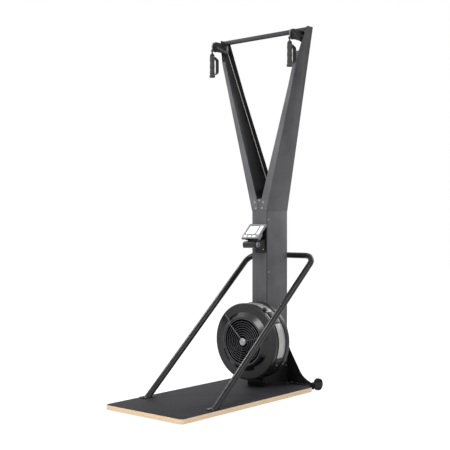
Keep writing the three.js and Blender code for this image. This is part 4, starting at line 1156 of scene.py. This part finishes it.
def makeCords():
    c, p = cord, pulley
    exitY, entryY, bendTop = p["exitY"] - c["lie"], p["topY"] + c["lie"], p["height"] + c["lie"]
    high, low, idlerX = p["height"], c["pullLow"], p["idlerX"] - c["idlerLie"]
    for side, hand in hands:
        x, reelY = side * p["x"], reel["places"][hand]
        route = bentPath([((x, exitY, high), 0), ((x, exitY, bendTop), c["lie"]),
                          ((x, entryY, bendTop), c["lie"]),
                          ((x, entryY, high - c["armDrop"]), c["armBend"]),
                          ((side * idlerX, p["idlerY"], p["idlerZ"]), c["idlerLie"]),
                          ((c["reelX"], reelY, c["reelZ"]), 0)], 10)
        run = pipe(hand + "DriveCord", route, c["radius"], 12)
        finish(run, "frame", paleBraid, [hand + "_drive_cord"])
        ends = [(c["returnX"], reelY + c["returnBehind"], z) for z in (c["returnLow"], c["returnHigh"])]
        band = pipe(hand + "ReturnCord", ends, c["returnRadius"], 12)
        finish(band, "frame", darkBraid, [hand + "_return_cord"])
        steps = c["pullSteps"]
        spots = [(x, exitY, low + (high - low) * k / steps) for k in range(steps + 1)]
        pull = pipe(hand + "PullCord", spots, c["radius"], 12)
        finish(pull, None, paleBraid, [hand + "_pull_cord"])
        metres((x, exitY, high))
        metres((x, exitY, low))
        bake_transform(pull)


# Handles: stop ball and ferrule, waisted grip, wrist strap

handle = {"y": 281.2, "ball": 2215, "top": 2178.3, "base": 2038, "ribs": 11, "ribStart": 26,
          "ribPitch": 9.5, "ribRadius": 15.4, "swell": 0.7, "wave": 1.35, "strapNear": 17,
          "strapFar": 50, "strapWide": 7, "strapThick": 2}
# Profiles from the ferrule's foot, the ball's centre, the grip's foot, the foot of a rib, and the
# ferrule's foot again
capProfile = [(0.2, 0, 0), (13, 0, 1.5), (15, 3, 2), (15, 9, 2.5), (10.5, 14, 4), (4.6, 21, 4)]
ballProfile = [(4, -11, 2), (6, -7.4, 1), (8.6, -3.6, 3), (9.2, 0, 4), (8.6, 3.6, 3), (6.2, 6.6, 2.4),
               (3, 9, 1), (0.2, 9, 0)]
gripFoot = [(0.2, 0, 0), (14, 0, 0), (16, 0, 1), (19, 3.5, 2.5), (19, 9.5, 3.5), (15.4, 18, 5)]
gripRib = [(0, 0, 1.2), (0.7, 2.4, 1), (0.7, 6.2, 1), (0, 8.6, 1.2)]
gripEnd = [(16, -5, 1.5), (16, -0.6, 1.2), (0.2, -0.6, 0)]


def makeHandles():
    h = handle
    top, base, near, far = h["top"], h["base"], h["strapNear"], h["strapFar"]
    cap = revolved("cap", lifted(capProfile, top) + lifted(ballProfile, h["ball"]), "Z", (0, 0, 0), 40)
    ribs = []
    for k in range(h["ribs"]):
        foot = base + h["ribStart"] + h["ribPitch"] * k
        radius = h["ribRadius"] + h["swell"] * cos(k * h["wave"])
        ribs += [(radius + out, foot + up, rounding) for out, up, rounding in gripRib]
    profile = [*lifted(gripFoot, base), *ribs, *lifted(gripEnd, top)]
    grip = revolved("grip", profile, "Z", (0, 0, 0), 48, 2)
    loop = bentPath([((0, near, top - 4), 0), ((0, far, top - 20), 14), ((0, far, base + 30), 22),
                     ((0, near, base + 18), 0)], 12)
    strap = pipe("strap", loop, h["strapThick"], 24)
    strap.scale = (h["strapWide"], 1, 1)
    applyAll(strap)
    looks = ((cap, "handle_cap", "black_plastic", plasticDark),
             (grip, "handle_grip", "grip_rubber", gripRubber),
             (strap, "wrist_strap", "dark_cord", darkBraid))
    for side, hand in hands:
        for model, part, slot, material in looks:
            twin = place(copyOf(model, hand + model.name.title()), at=(side * pulley["x"], h["y"], 0))
            finish(twin, hand + "_handle", material, [f"{hand}_{part}"])
    for model in (cap, grip, strap):
        bpy.data.objects.remove(model, do_unlink=True)


makePulleys()
makeCords()
makeHandles()
print("pulleys, cords and handles made")


# Monitor: modelled upright in front of the user, then tilted back as one
# Screen and strip are left, right, low and high; bulges are half width, low, high and back
monitor = {"foot": (0, 278, 983), "tilt": -45, "half": 69, "tall": 130, "deep": 6, "corner": 9,
           "screen": (-54, 22, 40, 110), "strip": (32, 56, 36, 114), "keys": (-43, -8, 27),
           "keyLow": 11, "keyWide": 26, "keyTall": 15, "gap": 0.3, "keyGap": 0.5, "hole": (-5, 15),
           "caseBack": 12, "caseEdge": 1.5, "bulges": ((46, 10, 88, 26), (58, 12, 64, 34)),
           "bossX": (-58, 58), "bossZ": (12, 118)}
bossProfile = [(1.6, 11, 0.3), (4.6, 11, 0.3), (4.6, 14.5, 0.8), (2.2, 14.5, 0.4), (1.6, 13, 0.2)]


def upright(name, sides, depth, heights, corner, edge=0.0):
    # Plate that faces the user, with its four corners rounded
    low, high = zip(sides, depth, heights)
    return roundedPlate(name, low, high, 1, corner, edge)


def tilted(piece, body, material, stands=()):
    place(piece, turn=(monitor["tilt"], 0, 0), at=monitor["foot"])
    return finish(piece, body, material, stands)


def makeMonitor():
    m = monitor
    half, deep, tall = m["half"], m["deep"], m["tall"]
    gap, grow, back = m["gap"], m["keyGap"], m["caseBack"]
    sx0, sx1, sz0, sz1 = m["screen"]
    tx0, tx1, tz0, tz1 = m["strip"]
    low, high, wide = m["keyLow"], m["keyLow"] + m["keyTall"], m["keyWide"] / 2
    bezel = upright("bezel", (-half, half), (0, deep), (0, tall), m["corner"], 1.4)
    openings = [upright("screenHole", (sx0, sx1), m["hole"], (sz0, sz1), 2.5),
                upright("stripHole", (tx0, tx1), m["hole"], (tz0, tz1), 3)]
    openings += [upright("keyHole", (x - wide - grow, x + wide + grow), m["hole"],
                         (low - grow, high + grow), 4) for x in m["keys"]]
    subtract(bezel, openings)
    bevelEdges(bezel, 0.5, 2, 50)
    tilted(bezel, "monitor", plasticBezel, ["monitor_bezel"])
    screen = upright("screen", (sx0 + gap, sx1 - gap), (1.6, 5.7), (sz0 + gap, sz1 - gap), 2.3, 0.4)
    tilted(screen, "monitor", acrylic, ["monitor_screen"])
    strip = upright("sideStrip", (tx0 + gap, tx1 - gap), (0.8, 5.7), (tz0 + gap, tz1 - gap), 2.8, 0.5)
    tilted(strip, "monitor", plasticKey, ["screen_side_strip"])
    for x, name in zip(m["keys"], ("left", "middle", "right")):
        key = upright(name + "Key", (x - wide, x + wide), (-1.6, 4.4), (low, high), 4.5, 1.4)
        tilted(key, name + "_button", plasticKey, [name + "_button"])
    edge = m["caseEdge"]
    case = [upright("case", (edge - half, half - edge), (deep + gap, back), (edge, tall - edge),
                    8, 1.6)]
    case += [upright("bulge", (-wide, wide), (back - 3, rear), (low, high), 8, 3)
             for wide, low, high, rear in m["bulges"]]
    case += [revolved("boss", bossProfile, "Y", (x, 0, z), 24) for x in m["bossX"] for z in m["bossZ"]]
    tilted(joined("monitorCase", case), "monitor", plasticBezel, ["monitor_case"])
    # Dark strip along the case's lower edge: painted shade under the monitor
    underShade = upright("monitorUnderShade", (4 - half, half - 4), (1.2, back - 1), (-1.6, 2.2), 0.8, 0.3)
    tilted(underShade, "monitor", plasticDark)


pivot = {"y": 295, "z": 942, "radius": 21, "bore": 5.3, "left": -46, "right": 44}
# The neck's top is pulled back, and the room of the monitor's case is cut out of it
neck = {"low": (-24, 287, 956), "high": (24, 307, 1003), "above": 990, "frontStep": (0, 28, 6),
        "backStep": (0, 24, -6), "rib": ((-25.2, 289, 962.5), (25.2, 309, 965.5)), "ribs": 4,
        "ribStep": (0, 6, 8.5), "room": ((-60, 2.2, 5), (60, 26.3, 100))}
# Profiles along the pivot's line; the nut is its radius, half thickness and place
knobProfile = [(0.2, 48.6, 0), (12, 48.6, 0.8), (16, 51.6, 1.5), (16, 60.6, 2), (13, 63.4, 1.5),
               (9, 63.4, 0.8), (7, 61, 1), (0.2, 61, 0)]
flute = {"count": 15, "ring": 17.4,
         "profile": [(0.1, 50, 0), (2.1, 50, 0.3), (2.1, 70, 0.3), (0.1, 70, 0)]}
studProfile = [(0.2, -57, 0), (4, -57, 0.8), (4.7, -56, 0.5), (4.7, 49, 0), (0.2, 49, 0)]
studNut = {"radius": 9, "half": 3, "x": -53.8}
knobShadeProfile = [(0.2, 60.4, 0), (10.4, 60.4, 0), (10.4, 63.7, 0.3), (0.2, 63.7, 0)]
knobBoltProfile = [(0.2, 63.2, 0), (3.2, 63.2, 0.2), (3.2, 65, 0.8), (0.2, 65, 0)]


def makePivot():
    p, n = pivot, neck
    y, z, radius, left, right = p["y"], p["z"], p["radius"], p["left"], p["right"]
    barrel = revolved("pivotBarrel", [(p["bore"], left, 0.5), (radius - 3, left, 1),
                                      (radius, left + 3, 2), (radius, right - 3, 2),
                                      (radius - 3, right, 1), (p["bore"], right, 0.5)],
                      "X", (0, y, z), 72)
    stalk = block("neck", n["low"], n["high"])
    middle = (n["low"][1] + n["high"][1]) / 2
    shift(stalk, lambda q: q.z > n["above"] and q.y > middle, n["backStep"])
    shift(stalk, lambda q: q.z > n["above"] and q.y < middle, n["frontStep"])
    bevelEdges(stalk, 1.5)
    ribs = []
    for k in range(n["ribs"]):
        low, high = [[value + k * step for value, step in zip(corner, n["ribStep"])]
                     for corner in n["rib"]]
        ribs.append(block("rib", low, high, 1.2))
    room = block("room", *n["room"])
    subtract(stalk, [place(room, turn=(monitor["tilt"], 0, 0), at=monitor["foot"])])
    finish(joined("pivotBarrel", [barrel, stalk, *ribs]), "monitor", plasticCowl,
           ["pivot_barrel"])
    knob = revolved("tiltKnob", knobProfile, "X", (0, y, z), 60)
    turns = [tau * k / flute["count"] for k in range(flute["count"])]
    subtract(knob, [revolved("flute", flute["profile"], "X",
                             (0, y + flute["ring"] * cos(turn), z + flute["ring"] * sin(turn)), 12)
                    for turn in turns])
    stud = revolved("stud", studProfile, "X", (0, y, z), 32)
    nut = hexagon(studNut["radius"], -studNut["half"], studNut["half"])
    bevelEdges(place(nut, turn=(0, 90, 0), at=(studNut["x"], y, z)), 0.7)
    finish(joined("tiltKnob", [knob, stud, nut]), "tilt_knob", plasticBezel,
           ["tilt_knob"])
    # Black disc over the knob's centre: painted shade of the knob's recess
    shadeDisc = revolved("knobShadeDisc", knobShadeProfile, "X", (0, y, z), 40)
    finish(shadeDisc, "tilt_knob", plasticDark)
    bolt = revolved("knobBolt", knobBoltProfile, "X", (0, y, z), 24)
    finish(bolt, "tilt_knob", zincSteel)


makeMonitor()
makePivot()
print("monitor made")


# Fasteners, and black strips that paint the shadow in the column's seams

toSide, toTop, toFront, toRear = (1, 0, 0), (0, 0, 1), (0, -1, 0), (0, 1, 0)
toRearUp = (0, 1, armSlope["forward"])
junction = {"lift": 3.3, "spots": ((35.5, 1212.5), (26, 1175)), "middle": 1226}
bracketSides = ((488, 148), (578, 148), (363, 66))
# Each set has its kind, its spots with the way that their heads point, its finish and its slot
boltSpots = {
    "junctionBolts": ("hex", [
        *mirrored([((x, coverFront - junction["lift"], z), toFront) for x, z in junction["spots"]]),
        *mirrored([((x, columnBack - armSlope["forward"] * (z - columnTop), z), toRearUp)
                   for x, z in junction["spots"]]),
        ((0, coverFront, junction["middle"]), toFront)], dullZinc, "zinc_steel"),
    "columnScrews": ("button", mirrored([((columnHalf, 404, z), toSide) for z in (1102, 765, 428)]),
                     dullZinc, "zinc_steel"),
    "bracketScrews": ("button", [((48.3, 361, 911.7), toSide), ((-50.3, 361, 936), (-1, 0, 0))],
                      zincSteel, "zinc_steel"),
    "baseBolts": ("hex", [*mirrored([((66.3, y, z), toSide) for y, z in bracketSides]),
                          *mirrored([((112, y, 41), toTop) for y in (534, 584)])],
                  steelGrey, "grey_steel"),
    "gussetBolts": ("hex", mirrored([((36, 611.3, z), toRear) for z in (262, 120)]),
                    zincSteel, "zinc_steel"),
    "braceBolts": ("hex", [*mirrored([((267, y, 41), toTop) for y in (-397, -338)]),
                           *mirrored([((22, 610.3, z), toRear) for z in (830, 906)])],
                   steelBlack, "black_steel"),
}
# Turn, reach and depth of each screw of the shroud, and the ring of the cowl's screws
shroudScrews = ((126, 238, 310), (125, 242, 368))
cowlScrews = {"ring": 219, "y": 235.8, "count": 6, "first": 30}


def makeFasteners():
    for name, (kind, spots, material, slot) in boltSpots.items():
        model = buttonScrew(fasteners[kind]) if kind == "button" else hexBolt(fasteners[kind])
        spread(name, model, spots, "frame", material)
    spots = []
    for side in (-1, 1):
        for turn, reach, y in shroudScrews:
            way = (side * sin(radians(turn)), 0, cos(radians(turn)))
            spots.append(((way[0] * reach, y, fanCentre + way[2] * reach), way))
    spread("shroudScrews", buttonScrew(fasteners["button"]), spots, "frame", zincSteel)
    c = cowlScrews
    turns = [radians(360 * k / c["count"] + c["first"]) for k in range(c["count"])]
    spots = [((c["ring"] * sin(turn), c["y"], fanCentre + c["ring"] * cos(turn)),
              toFront) for turn in turns]
    spread("cowlScrews", buttonScrew(fasteners["small"]), spots, "frame", plasticDark)


seamShade = {"wide": 6.0, "sunk": 0.4, "proud": 0.5, "y": 386.6, "low": 60, "high": 1156, "edge": 0.25}


def makeSeamShades():
    # Black strip in the seam between the cover and the channel: a painted shadow of the gap there
    t = seamShade
    for side, hand in hands:
        x0, x1 = sorted((side * (columnHalf - t["sunk"]), side * (columnHalf + t["proud"])))
        strip = block(hand + "SeamTrim", (x0, t["y"] - t["wide"] / 2, t["low"]),
                      (x1, t["y"] + t["wide"] / 2, t["high"]), t["edge"])
        finish(strip, "frame", rubber)


makeFasteners()
makeSeamShades()
print("fasteners and painted seam shadows made")
